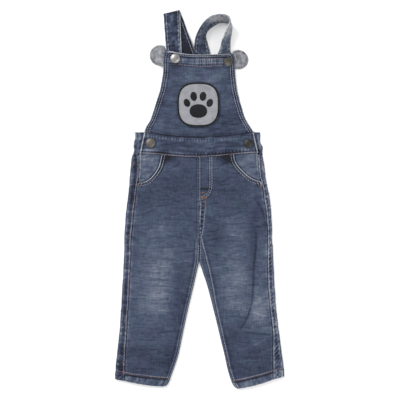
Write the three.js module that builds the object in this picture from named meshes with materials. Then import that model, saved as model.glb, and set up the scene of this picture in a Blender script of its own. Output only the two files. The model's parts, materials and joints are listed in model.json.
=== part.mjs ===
// Kids' denim dungarees, laid flat on their back with the front facing up.
// Millimetres. +X is the viewer's right, +Y runs from the hems to the straps, +Z is up from the floor.
// "left" and "right" are the viewer's. Every piece of cloth is a closed wall of its own.

import * as THREE from 'three';

// Cloth
const WALL = 1.2;
const HEM_WALL = 2.2;
const STRAP_WALL = 2.4;
const JERSEY_WALL = 1.8;
const PATCH_WALL = 1.0;
const FLY_WALL = 0.9;
const SEAM_GAP = 0.3;
const REST_GAP = 0.45;

// Heights of the cloth's middle above the floor
const FLOOR_MID = WALL / 2;
const EDGE_RISE = 3.2;
const EDGE_RADIUS = EDGE_RISE / 2;
const PUFF = 1.5;
const PUFF_REACH = 12;
const PUFF_ABOVE_CROTCH = 2;
const FOLD_ROUNDNESS = 2;
const WAISTBAND_MID = FLOOR_MID + EDGE_RISE + PUFF + 0.1;
const BIB_MID = 7.0;

// Main lines
const CENTRE_LEFT = -1.65;
const CENTRE_RIGHT = CENTRE_LEFT + SEAM_GAP;
const CROTCH_Y = -72;
const BACK_TOP_Y = 82;
const HEM_STEP = 0.06;

// Steps of the legs' sections, and how far the back panels reach flat to the centre seam
const LONGEST_ROW = 17;
const FRONT_COLUMNS = 12;
const FACING_STEPS = 9;
const FLOOR_STEPS = 5;
const EDGE_STEPS = 5;
const CENTRE_REACH = 7;
const CENTRE_STEPS = 6;

// Front waistband: its two ends, and how far its seams dip between them
const BAND_BOTTOM = { leftX: -111.1, leftY: 85.2, rightX: 107.1, rightY: 86.8, dip: 7, power: 2 };
const BAND_TOP = { leftX: -102.3, leftY: 126.6, rightX: 98.3, rightY: 126, dip: 10.3, power: 1 };
const BAND_GRID = { columns: 24, rows: 4 };

// Back waistband: elastic gathers that show at its two ends
const BACK_BAND_WALL = 2.2;
const GATHER_PITCH = 7.5;
const GATHER_HEIGHT = 0.35;

// Bib
const BIB_SIDE_HEM = 9;
const BIB_TOP_HEM_Y = 249;
const BIB_TOP_DIP = 6.5;
const BIB_SIDE_DROP = 5;
const BIB_RIDGE = { height: 15.2, startX: -22, crestX: 32, endX: 56.3, startY: 240, endY: 269, past: 1.1 };
const BIB_CORNER_DROP = { depth: 2.9, startY: 225, endY: 242 };
const BIB_JOIN = { startY: 128, endY: 166 };
const BIB_FREE = { startY: 128, fullY: 156, fadeY: 218, endY: 246, sideShare: 0.45 };
const BIB_COLUMNS = 15;
const BIB_SQUARE_ROW = 4;
const BIB_DIP_POWER = 3;

// Straps
const STRAP_FOLD = { leftX: -67.9, leftY: 342.8, rightX: -37.4, rightY: 347.8 };
const STRAP_FOLD_RADIUS = 1.7;
const STRAP_END_Y = 125.3;
const STRAP_STEPS = 60;
const STRAP_REST = 0.15;
const STRAP_STANDING_SHARE = 0.05;
const STRAP_FRONT_SHARES = [0.25, 0.5, 0.75];
const STRAP_FOLD_STEPS = 8;

// A strap's section: places across it, and its half thickness there as a share of the wall
const STRAP_PROFILE = [[0, 0.3], [0.04, 0.5], [0.5, 0.5], [0.96, 0.5], [1, 0.3]];

// Metal tack buttons
const BUTTON = { radius: 8.8, shankRadius: 3.4, shank: 0.9, edge: 1.2, dome: 1.4 };
const BUTTON_RIM = { under: 0.6, middle: 0.5, over: 0.5 };
const BUTTON_CROWN = { radiusShare: 0.6, domeShare: 0.75 };
const BUTTON_SEGMENTS = 20;

// Appliqué patch on the bib, and the two round jersey tabs behind its upper corners
const PATCH = { x: -3, y: 175.5, halfWidth: 39, halfHeight: 41, squareness: 2.8, border: 3.2, raise: 0.8 };
const EAR_LEFT = { x: -74, y: 266.3, radius: 18.9, rootX: -64.4 };
const EAR_RIGHT = { x: 71.2, y: 258.5, radius: 17.7, rootX: 60.6 };
const EAR_SLOPE = { start: 3.5, end: 17.5 };
const EAR_GRID = { segments: 24, rings: 4 };
const PATCH_SEGMENTS = 32;
const PATCH_INNER_SHARES = [0, 0.35, 0.68];
const PATCH_BORDER_STEP = 0.015;

// Mock fly
const FLY = { width: 25, topY: 78, bendY: 27, endY: -1, turn: 0.97 };
const FLY_GRID = { columns: 4, rows: 10 };

// One row for each section of a leg, from waist seam to hem: its two ends on the outline,
// and how far the back panel wraps over onto the front at the outseam and the inseam.
const LEG_COLUMNS = ['outerX', 'outerY', 'innerX', 'innerY', 'outseam', 'inseam'];
const LEG_LEFT = table(LEG_COLUMNS, [
  [-125, BACK_TOP_Y, CENTRE_LEFT, BACK_TOP_Y, 12.5, 0],
  [-127.5, 64.5, CENTRE_LEFT, 62.5, 15, 0],
  [-129, 46, CENTRE_LEFT, 42.5, 16.5, 0],
  [-130.5, 24, CENTRE_LEFT, 18.5, 14, 0],
  [-133.5, 0, CENTRE_LEFT, -5.5, 14, 0],
  [-136.5, -24, CENTRE_LEFT, -29.5, 14, 0],
  [-138, -48, CENTRE_LEFT, -51.5, 13.5, 0],
  [-139.5, -72, CENTRE_LEFT, CROTCH_Y, 12.5, 3.2],
  [-139.5, -84.5, CENTRE_LEFT, -84.5, 12, 3.4],
  [-139.5, -95.5, CENTRE_LEFT, -95.5, 12, 3.6],
  [-140.5, -110.5, CENTRE_LEFT, -110.5, 12.5, 4.5],
  [-141.5, -132.5, -6, -132.5, 12, 4],
  [-143, -162, -12.5, -162, 12.5, 3.8],
  [-145, -191.5, -20, -193, 13, 3.6],
  [-146.5, -221, -27, -224.5, 12.5, 3.6],
  [-149, -250, -33.5, -256, 13.5, 3.6],
  [-152, -278, -40, -286, 14.5, 3.6],
  [-154.5, -300, -48.5, -312, 16, 3.6],
  [-155.5, -316.5, -54, -326.5, 17, 3.6],
  [-156, -330.5, -61.5, -344, 17, 3.6],
]);
const LEG_RIGHT = table(LEG_COLUMNS, [
  [115, BACK_TOP_Y, CENTRE_RIGHT, BACK_TOP_Y, 8, 0],
  [118.5, 64.5, CENTRE_RIGHT, 62.5, 10.5, 0],
  [120, 46, CENTRE_RIGHT, 42.5, 10.5, 0],
  [124, 24, CENTRE_RIGHT, 18.5, 8.5, 0],
  [129, 0, CENTRE_RIGHT, -5.5, 10, 0],
  [131, -24, CENTRE_RIGHT, -29.5, 8.5, 0],
  [132.5, -48, CENTRE_RIGHT, -51.5, 8, 0],
  [132.5, -72, CENTRE_RIGHT, CROTCH_Y, 7.5, 3.2],
  [133.5, -84.5, CENTRE_RIGHT, -84.5, 8.5, 5.5],
  [134.5, -95.5, CENTRE_RIGHT, -95.5, 9.5, 9],
  [135, -110.5, CENTRE_RIGHT, -110.5, 10.5, 12.5],
  [136, -132.5, 5, -132.5, 11, 11.5],
  [137.5, -162, 14.5, -162, 11.5, 8],
  [139.5, -189.5, 22.5, -193, 11, 5.5],
  [142, -217, 30, -222.5, 10.5, 4.5],
  [145.5, -244.5, 37.5, -254, 11, 4],
  [149, -270.5, 45, -284.5, 14.5, 3.6],
  [152, -291.5, 51, -312, 17.5, 3.6],
  [154, -309, 57.5, -332.5, 19.5, 3.6],
  [155, -325, 66, -348.5, 20, 3.6],
]);
const FIRST_FRONT_ROW = 4;
const CROTCH_ROW = 7;
const HEM_ROW = 18;

// One row for each section of the front between a pocket's mouth and the centre front seam
const POCKET_COLUMNS = ['outerX', 'outerY', 'innerY'];
const POCKET_LEFT = table(POCKET_COLUMNS, [
  [-71, 82.5, 78],
  [-73, 74.5, 70],
  [-76, 62.5, 58],
  [-83, 50, 44],
  [-93.5, 38.5, 30],
  [-103, 33.2, 18],
  [-113, 31.2, 8],
  [-116.2, 24, 1],
]);
const POCKET_RIGHT = table(POCKET_COLUMNS, [
  [63, 83, 78],
  [64.5, 74.5, 70],
  [69.5, 64, 58],
  [76.5, 56, 46],
  [85, 47.5, 34],
  [94, 41, 24],
  [104, 36.6, 14],
  [111.6, 34.2, 8],
  [115.2, 24, 1],
]);

// One row for each section of a pocket facing, from the side edge to its hidden inner end
const FACING_COLUMNS = ['sideY', 'innerX', 'innerY'];
const FACING_LEFT = table(FACING_COLUMNS, [
  [84, -62, 82],
  [72, -65, 66],
  [61, -70, 52],
  [50, -79, 39],
  [41, -91, 29.5],
  [34, -104, 25.5],
]);
const FACING_RIGHT = table(FACING_COLUMNS, [
  [85, 54, 82],
  [74, 57, 66],
  [64, 63, 53],
  [54, 73, 43],
  [45, 84, 35],
  [37.5, 98, 29.5],
]);
const FACING_DEPTH = WALL + REST_GAP;
const FACING_SETTLE = { start: 3, end: 14 };
const FACING_SIDE_GAP = 0.9;

// One row for each section of the bib, from the waistband to its top edge
const BIB = table(['leftX', 'leftY', 'rightX', 'rightY'], [
  [-101.8, 126.9, 97.6, 126.4],
  [-98.5, 136, 92, 136],
  [-92, 147, 85.5, 147],
  [-88, 158, 80.5, 158],
  [-84, 169.5, 77, 169.5],
  [-80.5, 180.5, 73.5, 180.5],
  [-77, 191.5, 71, 191.5],
  [-73.5, 202.5, 68.5, 202.5],
  [-71.5, 213.5, 67, 213.5],
  [-69.5, 224.5, 65.5, 224.5],
  [-68, 236, 64.7, 235],
  [-67.6, 249, 64.2, 247.5],
  [-67.5, 259, 64, 256.5],
  [-66.5, 267.5, 63.5, 263],
  [-65, 272.5, 61.5, 268],
  [-61.5, 276, 58, 270.5],
]);

// One row for each section across the back waistband, from its lower to its upper edge
const BACK_BAND = table(['y', 'leftX', 'rightX'], [
  [82.3, -124.5, 115.5],
  [90, -122, 115],
  [98, -122.5, 115.5],
  [106.5, -122, 111],
  [113.5, -119.5, 111],
  [124.7, -121, 111],
]);

// One row for each section of a strap: the two long edges, the height of the lower edge's underside,
// and how much higher the upper edge stands
const STRAP_COLUMNS = ['lowX', 'lowY', 'highX', 'highY', 'lift', 'rise'];
const STRAP_LEFT_FRONT = table(STRAP_COLUMNS, [
  [-62, 243, -33, 243, 3.4, 0],
  [-62.4, 277, -33.9, 276, 3.4, 0],
]);
const STRAP_LEFT_BACK = table(STRAP_COLUMNS, [
  [-51, 302, -23.4, 311, 0, 0.4],
  [-44.5, 284, -16.6, 293, 0, 2.2],
  [-40.1, 272.4, -12.4, 281.4, 0, 3.3],
  [-36, 262, -8.8, 271.8, 0, 3.5],
  [-28, 240, -1, 250, 2.4, 0.9],
  [-14.5, 205, 12.5, 215, 2.9, 0],
  [-2.5, 173, 24.5, 183, 2.9, 0],
  [5.5, 150, 33.5, 158, 0.3, 0],
  [15, STRAP_END_Y, 46, STRAP_END_Y, 0, 0],
]);
const STRAP_RIGHT = table(STRAP_COLUMNS, [
  [57, 238, 27.7, 238, 0, 0],
  [56.5, 254, 28.6, 254, 0, 9],
  [56.3, 269, 33, 269, 0, 17.2],
  [55.6, 281.5, 38, 281.5, 0, 23],
  [55.6, 291, 40.5, 292, 0, 25],
  [56.9, 301, 44.6, 302, 0, 26.5],
  [58.3, 310.5, 49, 312.5, 0, 27.7],
  [58.6, 318, 52.8, 321.6, 0, 28.4],
  [57.2, 323.4, 55.8, 328.4, 0, 28.8],
  [53.6, 325, 54.2, 333.8, 0, 27.8],
  [49, 325.8, 49.6, 337.8, 0, 26.6],
  [42.9, 327, 42, 340, 0, 26.2],
  [35, 325.7, 31.8, 339.6, 0, 25.6],
  [26.7, 321.6, 20.2, 336.4, 0, 24.6],
  [18.6, 315.6, 9.6, 328.2, 0, 25],
  [12.9, 309.2, 1.2, 316.8, 0, 25.8],
  [10.8, 303, -4.4, 306.5, 0, 24.6],
  [11.8, 295.5, -8.4, 296.5, 0, 20.5],
  [14, 288.5, -10.2, 288, 0, 12],
  [16, 281.5, -11, 280.5, 0, 1],
  [17.6, 275, -11.4, 273.5, 0, 0],
  [18.6, 264, -10.6, 261, 0, 0],
  [18, 240, -11.3, 238.5, 0, 0],
  [6.2, 201.2, -22.2, 208.8, 0, 0],
  [-14.8, STRAP_END_Y, -45.2, STRAP_END_Y, 0, 0],
]);

// The largest folds of the legs' upper layer: two ends, sideways bow, half width and height
const FOLDS = table(['x1', 'y1', 'x2', 'y2', 'bow', 'halfWidth', 'height'], [
  [100, -18, 95, -156, -1, 9, -1.1],
  [95, -150, 73, -238, -8, 8, -1.0],
  [111, -50, 104, -180, -2, 9, 0.6],
  [92, 22, 119, -36, 2, 8, 0.8],
  [131, -292, 104, -318, -4, 7, -0.8],
  [8, -66, 52, -46, 3, 7, -0.6],
  [-10, -68, -54, -50, -3, 7, -0.5],
  [22, -112, 60, -106, 3, 6, -0.6],
  [28, -146, 66, -152, -3, 7, -0.6],
  [40, -196, 84, -188, 3, 7, 0.6],
  [-112, -98, -42, -104, -3, 8, 0.5],
  [-114, -142, -40, -148, 3, 8, -0.6],
  [-110, -176, -50, -180, -3, 8, 0.5],
  [-118, -214, -44, -206, 3, 8, -0.6],
  [-120, -262, -60, -270, -3, 9, 0.5],
  [50, -240, 112, -246, 3, 8, -0.5],
  [56, -276, 110, -268, 3, 8, 0.5],
]);

const CLOTH_ROUGHNESS = 0.9;
const JERSEY_ROUGHNESS = 0.95;
const METAL = { roughness: 0.35, metalness: 0.9 };
const COLOURS = {
  denimFront: 0x4f5b75,
  denimBack: 0x48536c,
  denimBib: 0x58627b,
  facing: 0x616b80,
  strap: 0x3f495e,
  jersey: 0x93949a,
  patch: 0x8b8d92,
  brass: 0x77746b,
  steel: 0xa8a7a6,
};

function table(columns, rows) {
  return rows.map((row) => Object.fromEntries(columns.map((name, index) => [name, row[index]])));
}

function mix(a, b, t) {
  return a + (b - a) * t;
}

function mixRow(a, b, t) {
  return Object.fromEntries(Object.keys(a).map((name) => [name, mix(a[name], b[name], t)]));
}

function smooth(start, end, value) {
  return THREE.MathUtils.smoothstep(value, start, end);
}

// Height of the two layers of a leg

function edgeX(leg, xName, yName, y) {
  const below = leg.findIndex((row) => row[yName] < y);
  if (below === 0) return leg[0][xName];
  if (below < 0) return leg[leg.length - 1][xName];
  const a = leg[below - 1];
  const b = leg[below];
  return mix(a[xName], b[xName], (a[yName] - y) / (a[yName] - b[yName]));
}

function puffAway(distance) {
  const past = Math.max(0, distance - EDGE_RADIUS - WALL / 2);
  return 1 - Math.exp(-past / PUFF_REACH);
}

function foldHeight(x, y) {
  let height = 0;
  for (const fold of FOLDS) {
    const dx = fold.x2 - fold.x1;
    const dy = fold.y2 - fold.y1;
    const length = Math.hypot(dx, dy);
    const along = ((x - fold.x1) * dx + (y - fold.y1) * dy) / (length * length);
    if (along <= 0 || along >= 1) continue;
    const taper = Math.sin(Math.PI * along);
    const across = ((x - fold.x1) * dy - (y - fold.y1) * dx) / length - fold.bow * taper;
    const reach = across / fold.halfWidth;
    height += fold.height * Math.sqrt(taper) * Math.exp(-FOLD_ROUNDNESS * reach * reach);
  }
  return height;
}

function topMid(x, y) {
  const leg = x < CENTRE_LEFT ? LEG_LEFT : LEG_RIGHT;
  const outer = Math.abs(x - edgeX(leg, 'outerX', 'outerY', y));
  const inner = Math.abs(x - edgeX(leg, 'innerX', 'innerY', y));
  const calm = PUFF_ABOVE_CROTCH * Math.max(0, y - CROTCH_Y);
  const puff = puffAway(outer) * puffAway(inner + calm);
  return FLOOR_MID + EDGE_RISE + puff * (PUFF + foldHeight(x, y));
}

// Closed walls from an outer and an inner grid of points

function closedWall(outer, inner) {
  const rows = outer.length;
  const columns = outer[0].length;
  const positions = [];
  for (const grid of [outer, inner]) {
    for (const row of grid) {
      for (const point of row) positions.push(point.x, point.y, point.z);
    }
  }
  const at = (side, row, column) => side * rows * columns + row * columns + column;
  const faces = [];
  const quad = (a, b, c, d) => faces.push(a, b, c, a, c, d);
  for (let row = 0; row < rows - 1; row++) {
    for (let column = 0; column < columns - 1; column++) {
      const corners = [[row, column], [row, column + 1], [row + 1, column + 1], [row + 1, column]];
      quad(...corners.map(([r, c]) => at(0, r, c)));
      quad(...corners.reverse().map(([r, c]) => at(1, r, c)));
    }
  }
  for (let column = 0; column < columns - 1; column++) {
    quad(at(0, 0, column + 1), at(0, 0, column), at(1, 0, column), at(1, 0, column + 1));
    const last = rows - 1;
    quad(at(0, last, column), at(0, last, column + 1), at(1, last, column + 1), at(1, last, column));
  }
  for (let row = 0; row < rows - 1; row++) {
    quad(at(0, row, 0), at(0, row + 1, 0), at(1, row + 1, 0), at(1, row, 0));
    const last = columns - 1;
    quad(at(0, row + 1, last), at(0, row, last), at(1, row, last), at(1, row + 1, last));
  }
  return facingOut(positions, faces);
}

function facingOut(positions, faces) {
  let volume = 0;
  const a = new THREE.Vector3();
  const b = new THREE.Vector3();
  const c = new THREE.Vector3();
  for (let i = 0; i < faces.length; i += 3) {
    a.fromArray(positions, faces[i] * 3);
    b.fromArray(positions, faces[i + 1] * 3);
    c.fromArray(positions, faces[i + 2] * 3);
    volume += a.dot(b.cross(c));
  }
  if (volume < 0) faces.reverse();
  const geometry = new THREE.BufferGeometry();
  geometry.setAttribute('position', new THREE.Float32BufferAttribute(positions, 3));
  geometry.setIndex(faces);
  return geometry;
}

function raisedSheet(grid, surface) {
  const lift = (side) => grid.map((row) => row.map(([x, y]) => {
    const { mid, below, above } = surface(x, y);
    return new THREE.Vector3(x, y, side > 0 ? mid + above : mid - below);
  }));
  return closedWall(lift(1), lift(-1));
}

function disc(segments, rings, radius, centre, surface) {
  const positions = [];
  const faces = [];
  const sideCount = 1 + segments * rings;
  for (const side of [1, -1]) {
    for (let index = 0; index < sideCount; index++) {
      const ring = Math.ceil(index / segments);
      const angle = 2 * Math.PI * ((index - 1) % segments) / segments;
      const reach = index === 0 ? 0 : radius(angle, ring / rings);
      const x = centre.x + reach * Math.cos(angle);
      const y = centre.y + reach * Math.sin(angle);
      const { mid, below, above } = surface(x, y, ring / rings);
      positions.push(x, y, side > 0 ? mid + above : mid - below);
    }
  }
  const onRing = (ring, step) => (ring === 0 ? 0 : 1 + (ring - 1) * segments + step % segments);
  const at = (side, ring, step) => side * sideCount + onRing(ring, step);
  for (let step = 0; step < segments; step++) {
    for (const side of [0, 1]) {
      const turn = (list) => (side === 0 ? list : list.reverse());
      faces.push(...turn([at(side, 0, 0), at(side, 1, step), at(side, 1, step + 1)]));
      for (let ring = 1; ring < rings; ring++) {
        const [a, b] = [at(side, ring, step), at(side, ring, step + 1)];
        const [c, d] = [at(side, ring + 1, step + 1), at(side, ring + 1, step)];
        faces.push(...turn([a, d, c]), ...turn([a, c, b]));
      }
    }
    const [a, b] = [at(0, rings, step), at(0, rings, step + 1)];
    const [c, d] = [at(1, rings, step + 1), at(1, rings, step)];
    faces.push(a, d, c, a, c, b);
  }
  return facingOut(positions, faces);
}

// Leg panels

function legBack(leg) {
  const stations = leg.flatMap((row, index) => {
    if (index !== HEM_ROW) return [{ ...row, index, hem: index > HEM_ROW ? 1 : 0 }];
    return [{ ...row, index, hem: 0 }, { ...mixRow(row, leg[index + 1], HEM_STEP), index, hem: 1 }];
  });
  const outer = [];
  const inner = [];
  for (const station of stations) {
    const section = legBackSection(station);
    const extra = (HEM_WALL - WALL) * station.hem;
    outer.push(section.map((point) => offset(point, WALL / 2 + extra * point.height)));
    inner.push(section.map((point) => offset(point, -WALL / 2 - extra * (1 - point.height))));
  }
  return closedWall(outer, inner);
}

function legBackSection(station) {
  const start = new THREE.Vector2(station.outerX, station.outerY);
  const end = new THREE.Vector2(station.innerX, station.innerY);
  const length = start.distanceTo(end);
  const inset = EDGE_RADIUS + WALL / 2;
  const section = [];
  const add = (along, z, normal, height) => {
    const place = start.clone().lerp(end, along / length);
    section.push({ start, end, x: place.x, y: place.y, z, normal, height });
  };
  const strip = (along) => {
    const place = start.clone().lerp(end, along / length);
    add(along, topMid(place.x, place.y), [0, 1], 1);
  };
  const arc = (centre, fromTop) => {
    for (let count = 1; count < EDGE_STEPS; count++) {
      const step = fromTop ? count : EDGE_STEPS - count;
      const angle = Math.PI * step / EDGE_STEPS;
      const direction = fromTop ? -1 : 1;
      const normal = [direction * Math.sin(angle), Math.cos(angle)];
      const along = centre + normal[0] * EDGE_RADIUS;
      add(along, FLOOR_MID + EDGE_RADIUS * (1 + normal[1]), normal, (1 + normal[1]) / 2);
    }
  };
  strip(station.outseam);
  strip((station.outseam + inset) / 2);
  strip(inset);
  arc(inset, true);
  const turned = station.index >= CROTCH_ROW;
  const floorEnd = turned ? length - inset : length - CENTRE_REACH;
  for (let step = 0; step <= FLOOR_STEPS; step++) {
    add(mix(inset, floorEnd, step / FLOOR_STEPS), FLOOR_MID, [0, -1], 0);
  }
  if (turned) {
    arc(length - inset, false);
    strip(length - inset);
    strip(length - station.inseam);
  } else {
    for (let step = CENTRE_STEPS; step >= 1; step--) {
      add(length - (step - 1) * CENTRE_REACH / CENTRE_STEPS, FLOOR_MID, [0, -1], 0);
    }
  }
  return section;
}

function offset(point, distance) {
  const along = point.end.clone().sub(point.start).normalize();
  return new THREE.Vector3(
    point.x + along.x * point.normal[0] * distance,
    point.y + along.y * point.normal[0] * distance,
    point.z + point.normal[1] * distance,
  );
}

function frontRows(leg, pocket, centreX) {
  const upper = pocket.map((row) => ({ ...row, innerX: centreX, hem: 0 }));
  const lower = leg.slice(FIRST_FRONT_ROW).map((row, index) => {
    const side = Math.sign(row.innerX - row.outerX);
    const number = index + FIRST_FRONT_ROW;
    const inseam = number >= CROTCH_ROW ? row.inseam + SEAM_GAP : 0;
    const slope = (row.innerY - row.outerY) / (row.innerX - row.outerX);
    const outseam = side * (row.outseam + SEAM_GAP);
    return {
      outerX: row.outerX + outseam,
      outerY: row.outerY + outseam * slope,
      innerX: row.innerX - side * inseam,
      innerY: row.innerY - side * inseam * slope,
      hem: number > HEM_ROW ? 1 : 0,
    };
  });
  const rows = [...upper, ...lower];
  const finer = [rows[0]];
  for (let index = 1; index < rows.length; index++) {
    const [above, below] = [rows[index - 1], rows[index]];
    if (above.hem < below.hem) finer.push({ ...mixRow(above, below, HEM_STEP), hem: 1 });
    const pieces = Math.ceil((above.outerY - below.outerY) / LONGEST_ROW);
    for (let piece = 1; piece < pieces; piece++) finer.push(mixRow(above, below, piece / pieces));
    finer.push(below);
  }
  return finer;
}

function legFront(leg, pocket, centreX) {
  const rows = frontRows(leg, pocket, centreX);
  const grid = rows.map((row, index) => Array.from({ length: FRONT_COLUMNS + 1 }, (_, column) => {
    const x = mix(row.outerX, row.innerX, column / FRONT_COLUMNS);
    const y = mix(row.outerY, row.innerY, column / FRONT_COLUMNS);
    return [x, index === 0 ? bandSeamY(BAND_BOTTOM, x) - SEAM_GAP : y, row.hem];
  }));
  const lift = (above) => grid.map((row) => row.map(([x, y, hem]) => {
    const extra = above > 0 ? hem * (HEM_WALL - WALL) : 0;
    return new THREE.Vector3(x, y, topMid(x, y) + above * WALL / 2 + extra);
  }));
  return closedWall(lift(1), lift(-1));
}

function pocketFacing(leg, pocket, facing) {
  const outward = Math.sign(leg[0].outerX);
  const grid = facing.map((row, index) => {
    const outseam = edgeX(leg, 'outseam', 'outerY', row.sideY);
    const edge = edgeX(leg, 'outerX', 'outerY', row.sideY) - outward * outseam;
    const sideX = edge - outward * FACING_SIDE_GAP;
    return Array.from({ length: FACING_STEPS + 1 }, (_, column) => {
      const x = mix(sideX, row.innerX, column / FACING_STEPS);
      const y = mix(row.sideY, row.innerY, column / FACING_STEPS);
      return [x, index === 0 ? bandSeamY(BAND_BOTTOM, x) - SEAM_GAP : y];
    });
  });
  return raisedSheet(grid, (x, y) => {
    const settle = smooth(FACING_SETTLE.start, FACING_SETTLE.end, mouthDistance(pocket, outward, x, y));
    return { mid: topMid(x, y) - FACING_DEPTH * (1 - settle), below: WALL / 2, above: WALL / 2 };
  });
}

function mouthDistance(pocket, outward, x, y) {
  let nearest = Infinity;
  for (let index = 1; index < pocket.length; index++) {
    const a = new THREE.Vector2(pocket[index - 1].outerX, pocket[index - 1].outerY);
    const b = new THREE.Vector2(pocket[index].outerX, pocket[index].outerY);
    const span = b.clone().sub(a);
    const along = THREE.MathUtils.clamp(new THREE.Vector2(x, y).sub(a).dot(span) / span.lengthSq(), 0, 1);
    nearest = Math.min(nearest, a.addScaledVector(span, along).distanceTo(new THREE.Vector2(x, y)));
  }
  const mouthX = edgeX(pocket, 'outerX', 'outerY', y);
  return outward * (x - mouthX) > 0 ? nearest : -nearest;
}

// Waistbands and fly

function bandSeamY(seam, x) {
  const along = THREE.MathUtils.clamp((x - seam.leftX) / (seam.rightX - seam.leftX), 0, 1);
  return mix(seam.leftY, seam.rightY, along) - seam.dip * (4 * along * (1 - along)) ** seam.power;
}

function waistbandFront() {
  const { columns, rows } = BAND_GRID;
  const grid = Array.from({ length: rows + 1 }, (_, row) => {
    const left = mix(BAND_BOTTOM.leftX, BAND_TOP.leftX, row / rows);
    const right = mix(BAND_BOTTOM.rightX, BAND_TOP.rightX, row / rows);
    return Array.from({ length: columns + 1 }, (__, column) => {
      const x = mix(left, right, column / columns);
      return [x, mix(bandSeamY(BAND_BOTTOM, x), bandSeamY(BAND_TOP, x), row / rows)];
    });
  });
  return raisedSheet(grid, () => ({ mid: WAISTBAND_MID, below: HEM_WALL / 2, above: HEM_WALL / 2 }));
}

function waistbandBack() {
  const width = BACK_BAND[0].rightX - BACK_BAND[0].leftX;
  const columns = 2 * Math.round(width / GATHER_PITCH);
  const half = BACK_BAND_WALL / 2;
  const lift = (above) => BACK_BAND.map((row) => Array.from({ length: columns + 1 }, (_, column) => {
    const wave = column % 2 === 0 ? -GATHER_HEIGHT : GATHER_HEIGHT;
    const x = mix(row.leftX, row.rightX, column / columns);
    return new THREE.Vector3(x, row.y, above ? 2 * half + wave : 0);
  }));
  return closedWall(lift(true), lift(false));
}

function mockFly() {
  const { columns, rows } = FLY_GRID;
  const bend = FLY.bendY - FLY.endY;
  const grid = Array.from({ length: rows + 1 }, (_, row) => {
    const turn = Math.max(0, row / rows - 0.5) * Math.PI * FLY.turn;
    const straight = mix(FLY.topY, FLY.bendY, 2 * row / rows);
    const y = row <= rows / 2 ? straight : FLY.bendY - bend * Math.sin(turn);
    const width = FLY.width * Math.cos(turn);
    return Array.from({ length: columns + 1 }, (__, column) => {
      const x = CENTRE_RIGHT + width * column / columns;
      return [x, row === 0 ? bandSeamY(BAND_BOTTOM, x) - 2 * SEAM_GAP : y];
    });
  });
  const under = WALL / 2 + SEAM_GAP;
  return raisedSheet(grid, (x, y) => ({ mid: topMid(x, y) + under, below: 0, above: FLY_WALL }));
}

// Bib, patch and ear tabs

function bibMid(x, y) {
  const left = edgeX([...BIB].reverse(), 'leftX', 'leftY', y);
  const right = edgeX([...BIB].reverse(), 'rightX', 'rightY', y);
  const side = Math.abs(2 * (x - left) / (right - left) - 1);
  const freed = smooth(BIB_FREE.startY, BIB_FREE.fullY, y);
  const free = freed * (1 - smooth(BIB_FREE.fadeY, BIB_FREE.endY, y));
  const join = mix(WAISTBAND_MID - BIB_MID, 0, smooth(BIB_JOIN.startY, BIB_JOIN.endY, y));
  const climb = (y - BIB_RIDGE.startY) / (BIB_RIDGE.endY - BIB_RIDGE.startY);
  const ramp = THREE.MathUtils.clamp(climb, 0, BIB_RIDGE.past);
  const rising = smooth(BIB_RIDGE.startX, BIB_RIDGE.crestX, x);
  const beyond = BIB_RIDGE.endX - BIB_RIDGE.crestX;
  const falling = THREE.MathUtils.clamp((BIB_RIDGE.endX - x) / beyond, 0, 1);
  const corner = Math.max(0, x - BIB_RIDGE.crestX) / beyond;
  const drop = BIB_CORNER_DROP.depth;
  const lowered = drop * corner * smooth(BIB_CORNER_DROP.startY, BIB_CORNER_DROP.endY, y);
  const ridge = BIB_RIDGE.height * ramp * Math.min(rising, falling);
  const sides = BIB_SIDE_DROP * free * smooth(BIB_FREE.sideShare, 1, side);
  return BIB_MID + join - sides + ridge - lowered;
}

function bibSides() {
  const rows = [BIB[0]];
  for (let index = 1; index < BIB.length; index++) {
    const [lower, upper] = [BIB[index - 1], BIB[index]];
    if (upper.leftY === BIB_TOP_HEM_Y) rows.push(mixRow(lower, upper, 1 - HEM_STEP * 2));
    rows.push(upper);
  }
  return rows;
}

function bibTop(x, y) {
  return bibMid(x, y) - WALL / 2 + HEM_WALL;
}

function bib() {
  const hem = [0, BIB_SIDE_HEM - 1, BIB_SIDE_HEM];
  const grid = bibSides().map((row, index, all) => {
    const width = row.rightX - row.leftX;
    const inside = Array.from({ length: BIB_COLUMNS - 1 }, (_, step) => {
      return mix(BIB_SIDE_HEM, width - BIB_SIDE_HEM, (step + 1) / BIB_COLUMNS);
    });
    const places = [...hem, ...inside, ...[...hem].reverse().map((distance) => width - distance)];
    const share = index / (all.length - 1);
    return places.map((place, column) => {
      const x = row.leftX + place;
      const along = place / width;
      const dip = BIB_TOP_DIP * share ** BIB_DIP_POWER * 4 * along * (1 - along);
      const straight = mix(row.leftY, row.rightY, along) - dip;
      const below = bandSeamY(BAND_TOP, x) + SEAM_GAP - mix(BIB[0].leftY, BIB[0].rightY, along);
      const y = straight + below * (1 - Math.min(1, index / BIB_SQUARE_ROW));
      const sideHem = column < hem.length - 1 || column > places.length - hem.length;
      const thick = row.leftY >= BIB_TOP_HEM_Y || sideHem;
      return { x, y, wall: thick ? HEM_WALL : WALL };
    });
  });
  const under = (p) => bibMid(p.x, p.y) - WALL / 2;
  const outer = grid.map((row) => row.map((p) => new THREE.Vector3(p.x, p.y, under(p) + p.wall)));
  const inner = grid.map((row) => row.map((p) => new THREE.Vector3(p.x, p.y, under(p))));
  return closedWall(outer, inner);
}

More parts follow.
